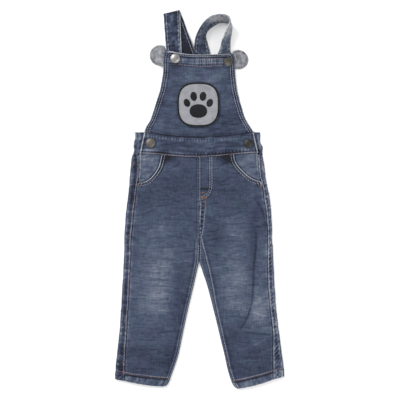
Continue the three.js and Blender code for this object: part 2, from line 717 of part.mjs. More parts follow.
function patch() {
  const edge = (angle) => {
    const cos = Math.abs(Math.cos(angle)) / PATCH.halfWidth;
    const sin = Math.abs(Math.sin(angle)) / PATCH.halfHeight;
    return (cos ** PATCH.squareness + sin ** PATCH.squareness) ** (-1 / PATCH.squareness);
  };
  const borderStart = 1 - PATCH.border / PATCH.halfWidth;
  const shares = [...PATCH_INNER_SHARES, borderStart - PATCH_BORDER_STEP, borderStart, 1];
  const rings = shares.length - 1;
  const radius = (angle, ring) => edge(angle) * shares[Math.round(ring * rings)];
  return disc(PATCH_SEGMENTS, rings, radius, PATCH, (x, y, ring) => {
    const raised = Math.round(ring * rings) >= rings - 1 ? PATCH.raise : 0;
    return { mid: bibMid(x, y) + WALL / 2 + REST_GAP, below: 0, above: PATCH_WALL + raised };
  });
}

function earTab(ear) {
  const inward = Math.sign(ear.rootX - ear.x);
  const radius = (angle, ring) => {
    const toRoot = inward * Math.cos(angle);
    const limit = toRoot > 0 ? Math.abs(ear.rootX - ear.x) / toRoot : Infinity;
    return ring * Math.min(ear.radius, limit);
  };
  return disc(EAR_GRID.segments, EAR_GRID.rings, radius, ear, (x, y) => {
    const away = inward * (ear.rootX - x);
    const high = bibMid(ear.rootX, y) - WALL / 2 - REST_GAP - JERSEY_WALL / 2;
    const mid = mix(high, JERSEY_WALL / 2, smooth(EAR_SLOPE.start, EAR_SLOPE.end, away));
    return { mid, below: JERSEY_WALL / 2, above: JERSEY_WALL / 2 };
  });
}

// Straps

function ribbon(edges) {
  const outer = [];
  const inner = [];
  edges.forEach(({ low, high }, index) => {
    const before = edges[Math.max(0, index - 1)];
    const after = edges[Math.min(edges.length - 1, index + 1)];
    const run = after.low.clone().add(after.high).sub(before.low).sub(before.high).normalize();
    const normal = high.clone().sub(low).cross(run).normalize();
    const side = (direction) => STRAP_PROFILE.map(([across, half]) => {
      return low.clone().lerp(high, across).addScaledVector(normal, direction * STRAP_WALL * half);
    });
    outer.push(side(1));
    inner.push(side(-1));
  });
  return closedWall(outer, inner);
}

function strapEdges(row) {
  const mid = row.lift + STRAP_WALL / 2 + STRAP_REST;
  const standing = row.rise / Math.hypot(row.highX - row.lowX, row.highY - row.lowY, row.rise);
  const edge = row.lift + STRAP_WALL * STRAP_STANDING_SHARE + STRAP_REST;
  const low = new THREE.Vector3(row.lowX, row.lowY, mix(mid, edge, standing));
  return { low, high: new THREE.Vector3(row.highX, row.highY, low.z + row.rise) };
}

function strapLeft() {
  const left = new THREE.Vector3(STRAP_FOLD.leftX, STRAP_FOLD.leftY, 0);
  const right = new THREE.Vector3(STRAP_FOLD.rightX, STRAP_FOLD.rightY, 0);
  const away = new THREE.Vector3(left.y - right.y, right.x - left.x, 0).normalize();
  const fold = Array.from({ length: STRAP_FOLD_STEPS + 1 }, (_, step) => {
    const angle = Math.PI * (0.5 - step / STRAP_FOLD_STEPS);
    const reach = STRAP_FOLD_RADIUS * Math.cos(angle) - STRAP_FOLD_RADIUS - STRAP_WALL / 2;
    const z = STRAP_WALL / 2 + STRAP_FOLD_RADIUS * (1 + Math.sin(angle));
    const place = (corner) => corner.clone().addScaledVector(away, reach).setZ(z);
    return { low: place(left), high: place(right) };
  });
  const front = STRAP_LEFT_FRONT.map(strapEdges);
  const middle = STRAP_FRONT_SHARES.map((share) => ({
    low: front[1].low.clone().lerp(fold[0].low, share),
    high: front[1].high.clone().lerp(fold[0].high, share),
  }));
  return ribbon([...front, ...middle, ...fold, ...STRAP_LEFT_BACK.map(strapEdges)]);
}

function strapRight() {
  const rows = STRAP_RIGHT.map(strapEdges);
  const lowCurve = new THREE.CatmullRomCurve3(rows.map((row) => row.low));
  const highCurve = new THREE.CatmullRomCurve3(rows.map((row) => row.high));
  return ribbon(Array.from({ length: STRAP_STEPS + 1 }, (_, step) => ({
    low: lowCurve.getPoint(step / STRAP_STEPS),
    high: highCurve.getPoint(step / STRAP_STEPS),
  })));
}

// Buttons

function button() {
  const cap = BUTTON.shank + BUTTON.edge;
  const profile = [
    [0, 0],
    [BUTTON.shankRadius, 0],
    [BUTTON.shankRadius, BUTTON.shank],
    [BUTTON.radius - BUTTON_RIM.under, BUTTON.shank],
    [BUTTON.radius, BUTTON.shank + BUTTON_RIM.middle],
    [BUTTON.radius - BUTTON_RIM.over, cap],
    [BUTTON.radius * BUTTON_CROWN.radiusShare, cap + BUTTON.dome * BUTTON_CROWN.domeShare],
    [0, cap + BUTTON.dome],
  ];
  const points = profile.map(([radius, height]) => new THREE.Vector2(radius, height));
  return new THREE.LatheGeometry(points, BUTTON_SEGMENTS).rotateX(Math.PI / 2);
}

function placeOn(mesh, surface, x, y) {
  const step = 4;
  const slopeX = (surface(x + step, y) - surface(x - step, y)) / (2 * step);
  const slopeY = (surface(x, y + step) - surface(x, y - step)) / (2 * step);
  const normal = new THREE.Vector3(-slopeX, -slopeY, 1).normalize();
  mesh.position.set(x, y, surface(x, y)).addScaledVector(normal, REST_GAP);
  mesh.quaternion.setFromUnitVectors(new THREE.Vector3(0, 0, 1), normal);
}

// The garment

const garment = new THREE.Group();

function piece(name, geometry, color, finish = { roughness: CLOTH_ROUGHNESS }) {
  const mesh = new THREE.Mesh(geometry, new THREE.MeshStandardMaterial({ color, ...finish }));
  mesh.name = name;
  garment.add(mesh);
  return mesh;
}

piece('leg_back_left', legBack(LEG_LEFT), COLOURS.denimBack);
piece('leg_back_right', legBack(LEG_RIGHT), COLOURS.denimBack);
piece('leg_front_left', legFront(LEG_LEFT, POCKET_LEFT, CENTRE_LEFT), COLOURS.denimFront);
piece('leg_front_right', legFront(LEG_RIGHT, POCKET_RIGHT, CENTRE_RIGHT), COLOURS.denimFront);
piece('pocket_facing_left', pocketFacing(LEG_LEFT, POCKET_LEFT, FACING_LEFT), COLOURS.facing);
piece('pocket_facing_right', pocketFacing(LEG_RIGHT, POCKET_RIGHT, FACING_RIGHT), COLOURS.facing);
piece('mock_fly', mockFly(), COLOURS.denimFront);
piece('waistband_back', waistbandBack(), COLOURS.denimBack);
piece('waistband_front', waistbandFront(), COLOURS.denimFront);
piece('bib', bib(), COLOURS.denimBib);
piece('applique_patch', patch(), COLOURS.patch, { roughness: JERSEY_ROUGHNESS });
piece('ear_tab_left', earTab(EAR_LEFT), COLOURS.jersey, { roughness: JERSEY_ROUGHNESS });
piece('ear_tab_right', earTab(EAR_RIGHT), COLOURS.jersey, { roughness: JERSEY_ROUGHNESS });
piece('strap_left', strapLeft(), COLOURS.strap);
piece('strap_right', strapRight(), COLOURS.strap);

const bandTop = () => WAISTBAND_MID + HEM_WALL / 2;
const BUTTONS = [
  ['button_bib_left', -45.5, 260, bibTop, COLOURS.steel],
  ['button_bib_right', 51.5, 254, bibTop, COLOURS.brass],
  ['button_waist_left', -91, 105, bandTop, COLOURS.brass],
  ['button_waist_right', 89, 104, bandTop, COLOURS.brass],
];
for (const [name, x, y, surface, color] of BUTTONS) {
  placeOn(piece(name, button(), color, METAL), surface, x, y);
}

const box = new THREE.Box3().setFromObject(garment, true);
const middle = box.getCenter(new THREE.Vector3());
garment.position.set(-middle.x, -middle.y, -box.min.z);

export default garment;
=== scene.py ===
"""Kids' denim dungarees, laid flat on their back: cloth, sewing, patch and buttons on their solids.

Cloth is worked out in millimetres, with +X to the viewer's right, +Y from the hems to the straps
and +Z up from the floor. Every mesh is then put in metres, at the place of its solid.
"left" and "right" are the viewer's.
"""

import json
import math

import bpy
import numpy as np
from bpy.props import FloatProperty, FloatVectorProperty, PointerProperty
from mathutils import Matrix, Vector
from mathutils.bvhtree import BVHTree

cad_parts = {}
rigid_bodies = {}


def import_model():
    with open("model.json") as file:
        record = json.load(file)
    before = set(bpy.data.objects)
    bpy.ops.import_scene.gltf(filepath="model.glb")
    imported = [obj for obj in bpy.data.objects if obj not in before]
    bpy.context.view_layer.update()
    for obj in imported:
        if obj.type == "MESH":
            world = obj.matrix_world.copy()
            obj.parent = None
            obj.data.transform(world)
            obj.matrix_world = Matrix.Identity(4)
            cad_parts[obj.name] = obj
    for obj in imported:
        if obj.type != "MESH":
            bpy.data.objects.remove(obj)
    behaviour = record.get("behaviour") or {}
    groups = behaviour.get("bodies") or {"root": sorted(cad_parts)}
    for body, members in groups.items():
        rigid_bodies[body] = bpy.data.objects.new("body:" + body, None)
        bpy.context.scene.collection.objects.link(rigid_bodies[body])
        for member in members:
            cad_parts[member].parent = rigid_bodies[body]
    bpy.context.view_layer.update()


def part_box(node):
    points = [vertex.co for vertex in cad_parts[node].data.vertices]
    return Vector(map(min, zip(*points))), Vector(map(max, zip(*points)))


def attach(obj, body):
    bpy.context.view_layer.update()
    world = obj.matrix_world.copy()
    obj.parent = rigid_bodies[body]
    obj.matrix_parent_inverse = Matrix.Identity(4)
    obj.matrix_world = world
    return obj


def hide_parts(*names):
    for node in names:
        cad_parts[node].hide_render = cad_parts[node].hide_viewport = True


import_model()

bl_info = {
    "name": "Kids' Dungarees",
    "version": (1, 0, 0),
    "blender": (4, 5, 0),
    "location": "View3D > Sidebar > Dungarees",
    "description": "Denim dungarees laid flat, with crossed straps, patch pieces and sewing",
    "category": "Add Mesh",
}

MM = 0.001
BODY = "root"
UP = np.array([0.0, 0.0, 1.0])

# Cloth, as its solids have it
WALL = 1.2
HEM_WALL = 2.2
STRAP_WALL = 2.4
JERSEY_WALL = 1.8
PATCH_WALL = 1.0
FLY_WALL = 0.9
SEAM_GAP = 0.3
REST_GAP = 0.45

# Heights of the cloth's middle above the floor
FLOOR_MID = WALL / 2
EDGE_RISE = 3.2
EDGE_RADIUS = EDGE_RISE / 2
EDGE_INSET = EDGE_RADIUS + WALL / 2
PUFF = 1.5
PUFF_REACH = 12
WAISTBAND_MID = FLOOR_MID + EDGE_RISE + PUFF + 0.1
BIB_MID = 7.0

# Main lines
CENTRE_LEFT = -1.51
CENTRE_RIGHT = CENTRE_LEFT + 0.02
CROTCH_Y = -72
BACK_TOP_Y = 82

BAND_BOTTOM = {"leftX": -111.1, "leftY": 85.2, "rightX": 107.1, "rightY": 86.8, "dip": 7, "power": 2}
BAND_TOP = {"leftX": -102.3, "leftY": 126.6, "rightX": 98.3, "rightY": 126, "dip": 10.3, "power": 1}
BACK_BAND_WALL = 2.2
GATHER_PITCH = 7.5

BIB_SIDE_HEM = 9
BIB_TOP_HEM_Y = 249
BIB_TOP_DIP = 6.5
BIB_SIDE_DROP = 5
BIB_RIDGE = {"height": 15.2, "startX": -22, "crestX": 32, "endX": 56.3, "startY": 240, "endY": 269}
BIB_RIDGE_PAST = 1.1
BIB_CORNER_DROP = 2.9
BIB_CORNER_DROP_Y = (225, 242)
BIB_JOIN_Y = (128, 166)
BIB_FREE_Y = (128, 156)
BIB_HELD_Y = (218, 246)
BIB_FREE_FROM = 0.45

STRAP_FOLD = {"leftX": -67.9, "leftY": 342.8, "rightX": -37.4, "rightY": 350.2}
STRAP_FOLD_RADIUS = 1.7
STRAP_END_Y = 125.3
STRAP_REST = 0.15

BUTTON_WAIST_LEFT = (-91, 105)

PATCH = {"x": -3, "y": 175.5, "half_width": 39, "half_height": 41, "squareness": 2.8, "border": 3.2}
EAR_LEFT = {"x": -74, "y": 266.3, "radius": 18.9, "rootX": -64.4}
EAR_RIGHT = {"x": 71.2, "y": 258.5, "radius": 17.7, "rootX": 60.6}
EAR_SLOPE = (3.5, 17.5)

FLY = {"width": 25, "topY": 78, "bendY": 27, "endY": -1}
FACING_DEPTH = WALL + REST_GAP
FACING_SETTLE = (3, 14)
FACING_SIDE_GAP = 0.9


def table(columns, rows):
    """Named columns as arrays, from one row for each section or fold."""
    return {name: np.array([row[i] for row in rows], float) for i, name in enumerate(columns)}


# One row for each section of a leg, from waist seam to hem
LEG_COLUMNS = ("outerX", "outerY", "innerX", "innerY", "outseam", "inseam")
LEG_LEFT = table(LEG_COLUMNS, [
    (-125, BACK_TOP_Y, CENTRE_LEFT, BACK_TOP_Y, 12.5, 0),
    (-127.5, 64.5, CENTRE_LEFT, 62.5, 15, 0),
    (-129, 46, CENTRE_LEFT, 42.5, 16.5, 0),
    (-130.5, 24, CENTRE_LEFT, 18.5, 14, 0),
    (-133.5, 0, CENTRE_LEFT, -5.5, 14, 0),
    (-136.5, -24, CENTRE_LEFT, -29.5, 14, 0),
    (-138, -48, CENTRE_LEFT, -51.5, 13.5, 0),
    (-139.5, -72, CENTRE_LEFT, CROTCH_Y, 12.5, 3.2),
    (-139.5, -84.5, CENTRE_LEFT, -84.5, 12, 3.4),
    (-139.5, -95.5, CENTRE_LEFT, -95.5, 12, 3.6),
    (-140.5, -110.5, CENTRE_LEFT, -110.5, 12.5, 4.5),
    (-141.5, -132.5, -6, -132.5, 12, 4),
    (-143, -162, -12.5, -162, 12.5, 3.8),
    (-145, -191.5, -20, -193, 13, 3.6),
    (-146.5, -221, -27, -224.5, 12.5, 3.6),
    (-149, -250, -33.5, -256, 13.5, 3.6),
    (-152, -278, -40, -286, 14.5, 3.6),
    (-154.5, -300, -48.5, -312, 16, 3.6),
    (-155.5, -316.5, -54, -326.5, 17, 3.6),
    (-156, -330.5, -61.5, -344, 17, 3.6),
])
LEG_RIGHT = table(LEG_COLUMNS, [
    (115, BACK_TOP_Y, CENTRE_RIGHT, BACK_TOP_Y, 8, 0),
    (118.5, 64.5, CENTRE_RIGHT, 62.5, 10.5, 0),
    (120, 46, CENTRE_RIGHT, 42.5, 10.5, 0),
    (124, 24, CENTRE_RIGHT, 18.5, 8.5, 0),
    (129, 0, CENTRE_RIGHT, -5.5, 10, 0),
    (131, -24, CENTRE_RIGHT, -29.5, 8.5, 0),
    (132.5, -48, CENTRE_RIGHT, -51.5, 8, 0),
    (132.5, -72, CENTRE_RIGHT, CROTCH_Y, 7.5, 3.2),
    (133.5, -84.5, CENTRE_RIGHT, -84.5, 8.5, 5.5),
    (134.5, -95.5, CENTRE_RIGHT, -95.5, 9.5, 9),
    (135, -110.5, CENTRE_RIGHT, -110.5, 10.5, 12.5),
    (136, -132.5, 5, -132.5, 11, 11.5),
    (137.5, -162, 14.5, -162, 11.5, 8),
    (139.5, -189.5, 22.5, -193, 11, 5.5),
    (142, -217, 30, -222.5, 10.5, 4.5),
    (145.5, -244.5, 37.5, -254, 11, 4),
    (149, -270.5, 45, -284.5, 14.5, 3.6),
    (152, -291.5, 51, -312, 17.5, 3.6),
    (154, -309, 57.5, -332.5, 19.5, 3.6),
    (155, -325, 66, -348.5, 20, 3.6),
])
FIRST_FRONT_ROW = 4
CROTCH_ROW = 7
HEM_ROW = 18

# One row for each section of the front between a pocket's mouth and the centre front seam
POCKET_COLUMNS = ("outerX", "outerY", "innerY")
POCKET_LEFT = table(POCKET_COLUMNS, [
    (-71, 82.5, 78),
    (-73, 74.5, 70),
    (-76, 62.5, 58),
    (-83, 50, 44),
    (-93.5, 38.5, 30),
    (-103, 33.2, 18),
    (-113, 31.2, 8),
    (-116.2, 24, 1),
])
POCKET_RIGHT = table(POCKET_COLUMNS, [
    (63, 83, 78),
    (64.5, 74.5, 70),
    (69.5, 64, 58),
    (76.5, 56, 46),
    (85, 47.5, 34),
    (94, 41, 24),
    (104, 36.6, 14),
    (111.6, 34.2, 8),
    (115.2, 24, 1),
])

# One row for each section of a pocket facing, from the side edge to its hidden inner end
FACING_COLUMNS = ("sideY", "innerX", "innerY")
FACING_LEFT = table(FACING_COLUMNS, [
    (84, -62, 82),
    (72, -65, 66),
    (61, -70, 52),
    (50, -79, 39),
    (41, -91, 29.5),
    (34, -104, 25.5),
])
FACING_RIGHT = table(FACING_COLUMNS, [
    (85, 54, 82),
    (74, 57, 66),
    (64, 63, 53),
    (54, 73, 43),
    (45, 84, 35),
    (37.5, 98, 29.5),
])

# One row for each section of the bib, from the waistband to its top edge
BIB = table(("leftX", "leftY", "rightX", "rightY"), [
    (-101.8, 126.9, 97.6, 126.4),
    (-98.5, 136, 92, 136),
    (-92, 147, 85.5, 147),
    (-88, 158, 80.5, 158),
    (-84, 169.5, 77, 169.5),
    (-80.5, 180.5, 73.5, 180.5),
    (-77, 191.5, 71, 191.5),
    (-73.5, 202.5, 68.5, 202.5),
    (-71.5, 213.5, 67, 213.5),
    (-69.5, 224.5, 65.5, 224.5),
    (-68, 236, 64.7, 235),
    (-67.6, 249, 64.2, 247.5),
    (-67.5, 259, 64, 256.5),
    (-66.5, 267.5, 63.5, 263),
    (-65, 272.5, 61.5, 268),
    (-61.5, 276, 58, 270.5),
])
BIB_SQUARE_ROW = 4

# One row for each section across the back waistband, from its lower to its upper edge
BACK_BAND = table(("y", "leftX", "rightX"), [
    (82.3, -124.5, 115.5),
    (90, -122, 115),
    (98, -122.5, 115.5),
    (106.5, -122, 111),
    (113.5, -119.5, 111),
    (124.7, -121, 111),
])

# One row for each section of a strap: the two long edges, the height of the lower edge's underside,
# and how much higher the upper edge stands
STRAP_COLUMNS = ("lowX", "lowY", "highX", "highY", "lift", "rise")
STRAP_LEFT_FRONT = table(STRAP_COLUMNS, [
    (-62, 243, -33, 243, 3.4, 0),
    (-62.4, 277, -33.9, 276, 3.4, 0),
])
STRAP_LEFT_BACK = table(STRAP_COLUMNS, [
    (-58.5, 323, -30.4, 331.5, 0, 0.2),
    (-51, 302, -23.4, 311, 0, 0.4),
    (-44.5, 284, -16.6, 293, 0, 2.2),
    (-40.1, 272.4, -12.4, 281.4, 0, 3.3),
    (-36, 262, -8.8, 271.8, 0, 3.5),
    (-28, 240, -1, 250, 2.4, 0.9),
    (-14.5, 205, 12.5, 215, 2.9, 0),
    (-2.5, 173, 24.5, 183, 2.9, 0),
    (5.5, 150, 33.5, 158, 0.3, 0),
    (15, STRAP_END_Y, 46, STRAP_END_Y, 0, 0),
])
STRAP_RIGHT = table(STRAP_COLUMNS, [
    (57, 238, 27.7, 238, 0, 0),
    (56.5, 254, 28.6, 254, 0, 9),
    (56.3, 269, 33, 269, 0, 17.2),
    (55.6, 281.5, 38, 281.5, 0, 23),
    (55.6, 291, 40.5, 292, 0, 25),
    (56.9, 301, 44.6, 302, 0, 26.5),
    (58.3, 310.5, 49, 312.5, 0, 27.7),
    (58.6, 318, 52.8, 321.6, 0, 28.4),
    (57.2, 323.4, 55.8, 328.4, 0, 28.8),
    (53.6, 325, 54.2, 333.8, 0, 27.8),
    (49, 325.8, 49.6, 337.8, 0, 26.6),
    (42.9, 327, 42, 340, 0, 26.2),
    (35, 325.7, 31.8, 339.6, 0, 25.6),
    (26.7, 321.6, 20.2, 336.4, 0, 24.6),
    (18.6, 315.6, 9.6, 328.2, 0, 25),
    (12.9, 309.2, 1.2, 316.8, 0, 25.8),
    (10.8, 303, -4.4, 306.5, 0, 24.6),
    (11.8, 295.5, -8.4, 296.5, 0, 20.5),
    (14, 288.5, -10.2, 288, 0, 12),
    (16, 281.5, -11, 280.5, 0, 1),
    (17.6, 275, -11.4, 273.5, 0, 0),
    (18.6, 264, -10.6, 261, 0, 0),
    (18, 240, -11.3, 238.5, 0, 0),
    (6.2, 201.2, -22.2, 208.8, 0, 0),
    (-14.8, STRAP_END_Y, -45.2, STRAP_END_Y, 0, 0),
])

# Folds of the cloth that the solids have too: two ends, sideways bow, half width and height
FOLD_COLUMNS = ("x1", "y1", "x2", "y2", "bow", "half_width", "height")
FOLDS = table(FOLD_COLUMNS, [
    (100, -18, 95, -156, -1, 9, -1.1),
    (95, -150, 73, -238, -8, 8, -1.0),
    (111, -50, 104, -180, -2, 9, 0.6),
    (92, 22, 119, -36, 2, 8, 0.8),
    (131, -292, 104, -318, -4, 7, -0.8),
    (8, -66, 52, -46, 3, 7, -0.6),
    (-10, -68, -54, -50, -3, 7, -0.5),
    (22, -112, 60, -106, 3, 6, -0.6),
    (28, -146, 66, -152, -3, 7, -0.6),
    (40, -196, 84, -188, 3, 7, 0.6),
    (-112, -98, -42, -104, -3, 8, 0.5),
    (-114, -142, -40, -148, 3, 8, -0.6),
    (-110, -176, -50, -180, -3, 8, 0.5),
    (-118, -214, -44, -206, 3, 8, -0.6),
    (-120, -262, -60, -270, -3, 9, 0.5),
    (50, -240, 112, -246, 3, 8, -0.5),
    (56, -276, 110, -268, 3, 8, 0.5),
])
# Narrow creases between and on them
CREASES = table(FOLD_COLUMNS, [
    (104, -58, 98, -132, -1, 2.7, -0.85),
    (98.5, -124, 95.5, -194, -1, 2.5, -0.85),
    (96, -184, 72, -241, -4.5, 2.3, -0.85),
    (100, 6, 123, -54, -4, 3.2, -0.7),
    (76, -244, 131, -249, -1.5, 1.8, -0.55),
    (70, -276, 128, -252, 3, 3.0, 0.35),
    (-119.5, 61, -119.5, 11, 0, 1.3, -1.0),
    (-12, -76, -62, -66, 2, 2.4, -0.5),
    (-8, -92, -50, -96, -2, 2.0, -0.45),
    (-14, -112, -48, -118, 2, 1.8, 0.4),
    (6, -78, 48, -70, -2, 2.2, -0.5),
    (10, -96, 44, -100, 2, 2.0, -0.45),
    (18, -124, 52, -120, 2, 1.8, 0.4),
    (-118, -131, -52, -133, 2, 1.7, -0.4),
    (-104, -158, -46, -160, -1, 1.6, -0.42),
    (-96, -186, -56, -181, 1, 1.6, -0.36),
    (-88, -201, -44, -204, 1, 1.5, 0.3),
    (-118, -228, -66, -226, 2, 1.8, -0.38),
    (-84, -246, -34, -243, -2, 1.7, -0.4),
    (-120, -275, -70, -273, 1, 1.6, -0.36),
    (-92, -283, -46, -289, 2, 1.6, 0.32),
    (-128, -306, -84, -311, 2, 1.8, -0.34),
    (-110, -60, -58, -56, -2, 2.0, 0.36),
    (-126, -30, -84, -18, 2, 2.4, -0.4),
    (-60, 6, -22, -8, 2, 2.6, -0.32),
    (-104, 14, -64, 20, 2, 2.4, -0.3),
    (34, -30, 76, -24, 2, 2.2, -0.36),
    (48, -62, 88, -66, 2, 1.9, 0.34),
    (56, -88, 92, -84, -1, 1.8, -0.36),
    (102, -134, 130, -130, 1, 1.7, -0.32),
    (60, -168, 92, -172, 1, 1.6, -0.34),
    (104, -184, 134, -178, -2, 1.7, 0.32),
    (44, -214, 86, -218, -2, 1.7, -0.38),
    (58, -258, 104, -262, 2, 1.7, -0.36),
    (92, -280, 138, -268, 2, 1.8, -0.34),
    (66, -298, 108, -296, -1, 1.7, 0.3),
    (74, -322, 116, -316, 2, 1.8, -0.34),
    (98, -206, 132, -214, 2, 2.0, 0.34),
    (100, -236, 136, -232, -2, 1.8, -0.32),
    (-130, -64, -112, -74, 1, 1.6, -0.5),
    (-96, -72, -50, -70, -1, 1.5, -0.45),
    (-84, -88, -30, -84, 1, 1.5, -0.45),
    (-90, -108, -44, -110, -1, 1.5, -0.5),
    (-122, -118, -88, -116, 1, 1.6, -0.4),
    (-78, -122, -40, -121, 1, 1.4, 0.4),
    (-96, -148, -52, -147, 1, 1.4, -0.45),
    (-70, -168, -40, -170, 1, 1.4, -0.4),
    (-122, -172, -96, -176, 1, 1.6, -0.35),
    (-66, -192, -36, -194, -1, 1.4, -0.45),
    (-100, -236, -60, -238, 1, 1.5, -0.4),
    (-112, -256, -84, -258, 1, 1.5, -0.4),
    (-98, -298, -60, -302, -1, 1.5, -0.4),
    (-100, -12, -46, -6, 2, 1.6, -0.35),
    (-64, -36, -16, -40, -2, 1.6, -0.4),
    (-88, -46, -30, -50, 2, 1.5, 0.35),
    (12, -58, 40, -54, 1, 1.5, -0.45),
    (40, -46, 84, -44, -1, 1.5, -0.4),
    (30, -74, 76, -76, 1, 1.4, -0.45),
    (52, -100, 86, -98, 1, 1.4, 0.4),
    (40, -108, 84, -112, -1, 1.4, -0.45),
    (34, -134, 74, -132, 1, 1.4, -0.45),
    (66, -146, 92, -144, 1, 1.4, 0.35),
    (44, -158, 82, -162, -1, 1.4, -0.45),
    (36, -178, 78, -176, 1, 1.5, -0.45),
    (50, -186, 84, -190, 1, 1.4, 0.35),
    (52, -204, 80, -202, 1, 1.4, -0.4),
    (60, -230, 96, -234, 1, 1.5, -0.4),
    (112, -248, 138, -244, 1, 1.5, -0.35),
    (70, -266, 100, -270, 1, 1.5, -0.4),
    (64, -306, 94, -312, -1, 1.5, -0.4),
    (26, 30, 60, 44, 2, 1.7, -0.5),
    (30, 22, 70, 32, 2, 1.7, 0.4),
    (34, 60, 62, 72, -2, 2.0, -0.6),
    (-58, 58, -34, 70, 2, 2.0, -0.5),
])
FOLD_ROUND_TOP = 2.0

# Creases of the bib
BIB_CREASES = table(FOLD_COLUMNS, [
    (-62, 226, 30, 218, 3, 3.0, 0.3),
    (-40, 236, 56, 232, -3, 2.4, -0.3),
    (-66, 206, -38, 212, 2, 2.4, -0.3),
    (40, 216, 64, 208, 2, 2.4, 0.3),
    (-86, 150, -52, 142, 3, 3.0, -0.35),
    (-60, 136, -8, 131, 2, 2.6, 0.3),
    (36, 138, 82, 146, -3, 3.0, -0.35),
    (46, 158, 76, 166, 2, 2.4, 0.3),
    (-78, 172, -46, 166, 2, 2.4, 0.28),
    (2, 244, 40, 240, 1, 2.0, -0.28),
])

# How worn the denim is where nothing has faded it, and what parts of it start from
DENIM_WEAR = 0.35
BIB_WEAR = 0.345
FACING_WEAR = 0.50
BACK_BAND_WEAR = 0.32

# Worn places and dark places: middle, reach across and along, and how much lighter or darker
FADE_COLUMNS = ("x", "y", "reach_x", "reach_y", "amount")
FADES = table(FADE_COLUMNS, [
    (-72, -44, 32, 60, 0.09),
    (-74, -110, 34, 50, 0.10),
    (-62, 77, 14, 8, -0.40),
    (52, 77, 16, 8, -0.42),
    (-82, -162, 33, 42, 0.175),
    (-88, -204, 26, 30, 0.10),
    (-64, -182, 12, 30, 0.05),
    (-130, -150, 12, 130, 0.03),
    (-36, -190, 14, 60, -0.08),
    (-40, -130, 12, 40, -0.04),
    (-70, -290, 40, 34, -0.06),
    (-30, 30, 44, 40, -0.05),
    (-90, 6, 36, 34, -0.10),
    (-60, 22, 34, 28, -0.06),
    (60, 14, 48, 38, -0.09),
    (62, -44, 24, 50, 0.07),
    (60, -110, 26, 44, 0.12),
    (64, -166, 24, 36, 0.19),
    (110, -202, 24, 39, 0.24),
    (116, -130, 14, 60, 0.06),
    (84, -250, 44, 14, -0.05),
    (90, -296, 40, 30, -0.06),
    (30, -70, 18, 30, -0.05),
    (102, -60, 9, 50, -0.05),
])
BIB_FADES = table(FADE_COLUMNS, [
    (-44, 249, 16, 7, -0.20),
    (5, 232, 46, 14, 0.10),
    (-48, 215, 14, 20, -0.08),
    (-60, 186, 15, 20, -0.09),
    (54, 193, 14, 18, 0.04),
])

# Buttons: node, place, the cloth it is on and its finish
BUTTON_PLACES = (
    ("button_bib_left", -45.5, 260, "bib", "steel"),
    ("button_bib_right", 51.5, 254, "bib", "brass"),
    ("button_waist_left", *BUTTON_WAIST_LEFT, "band", "steel_worn"),
    ("button_waist_right", 89, 104, "band", "brass_dark"),
)


def corner_middle(node):
    """Middle of a solid's box, in millimetres."""
    low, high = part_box(node)
    return np.array((low + high) / 2) / MM


PLACE = (corner_middle("button_waist_left") - np.array([*BUTTON_WAIST_LEFT, 0])) * (1, 1, 0)


# Plain mathematics

def mix(a, b, t):
    return a + (b - a) * t


def smooth(start, end, value):
    t = np.clip((value - start) / (end - start), 0, 1)
    return t * t * (3 - 2 * t)


def hump(value, reach):
    return np.exp(-(value / reach) ** 2)


def bow(share):
    """0 at both ends of a width and 1 in its middle."""
    return 4 * share * (1 - share)


def bands(distance, *lines):
    """Soft lines beside an edge, each with its strength, its distance from the edge and its reach."""
    return sum(strength * hump(distance - place, reach) for strength, place, reach in lines)


def faded(places, x, y):
    """How much lighter or darker a table of worn and dark places makes the cloth."""
    shade = 0
    for place_x, place_y, reach_x, reach_y, amount in zip(*places.values()):
        shade += amount * hump(x - place_x, reach_x) * hump(y - place_y, reach_y)
    return shade


def curve_through(points, lengths, at):
    """A smooth curve through points, which lie at the given lengths along it, read at other lengths."""
    points = np.asarray(points, float)
    slope = np.gradient(points, lengths, axis=0)
    i = np.clip(np.searchsorted(lengths, at, side="right") - 1, 0, len(lengths) - 2)
    step = (lengths[i + 1] - lengths[i]).reshape(-1, *[1] * (points.ndim - 1))
    t = ((at - lengths[i]).reshape(step.shape)) / step
    return ((2 * t**3 - 3 * t**2 + 1) * points[i] + (t**3 - 2 * t**2 + t) * step * slope[i]
            + (3 * t**2 - 2 * t**3) * points[i + 1] + (t**3 - t**2) * step * slope[i + 1])


def run_lengths(*edges):
    """Length along a strip of cloth at each of its sections, as the mean of its edges."""
    steps = [np.linalg.norm(np.diff(edge, axis=0), axis=1) for edge in edges]
    return np.concatenate([[0], np.cumsum(np.mean(steps, axis=0))])


EDGE_STEPS = np.array([0, 0.1, 0.35, 0.8, 1.4, 2.0, 2.7, 3.4, 4.2, 5.0, 5.9, 6.8, 7.8, 9.0, 10.3])
THINNEST = 0.12
NOISE_SIZE = 64


def stations(length, step):
    """Places along a length, closer together at both ends, where the cloth rounds off."""
    last = EDGE_STEPS[-1]
    count = max(3, round((length - 2 * last) / step))
    inside = np.linspace(last, length - last, count)
    return np.concatenate([EDGE_STEPS[:-1], inside, length - EDGE_STEPS[-2::-1]])


def shares(length, step):
    """The same places, as shares of the length."""
    return stations(length, step) / length


def round_off(distance, radius):
    """Share of the wall's thickness that is left near a rounded edge."""
    t = np.clip(distance / radius, 0, 1)
    return np.maximum(THINNEST, np.sqrt(1 - (1 - t) ** 2))


def ripple(x, y, seed):
    """Even noise between -1 and 1 that changes over about one unit each way."""
    lattice = np.random.default_rng(seed).uniform(-1, 1, (NOISE_SIZE, NOISE_SIZE))
    column, row = np.floor(x).astype(int), np.floor(y).astype(int)
    u, v = smooth(0, 1, x - column), smooth(0, 1, y - row)

    def corner(up, right):
        return lattice[(row + up) % NOISE_SIZE, (column + right) % NOISE_SIZE]

    return mix(mix(corner(0, 0), corner(0, 1), u), mix(corner(1, 0), corner(1, 1), u), v)


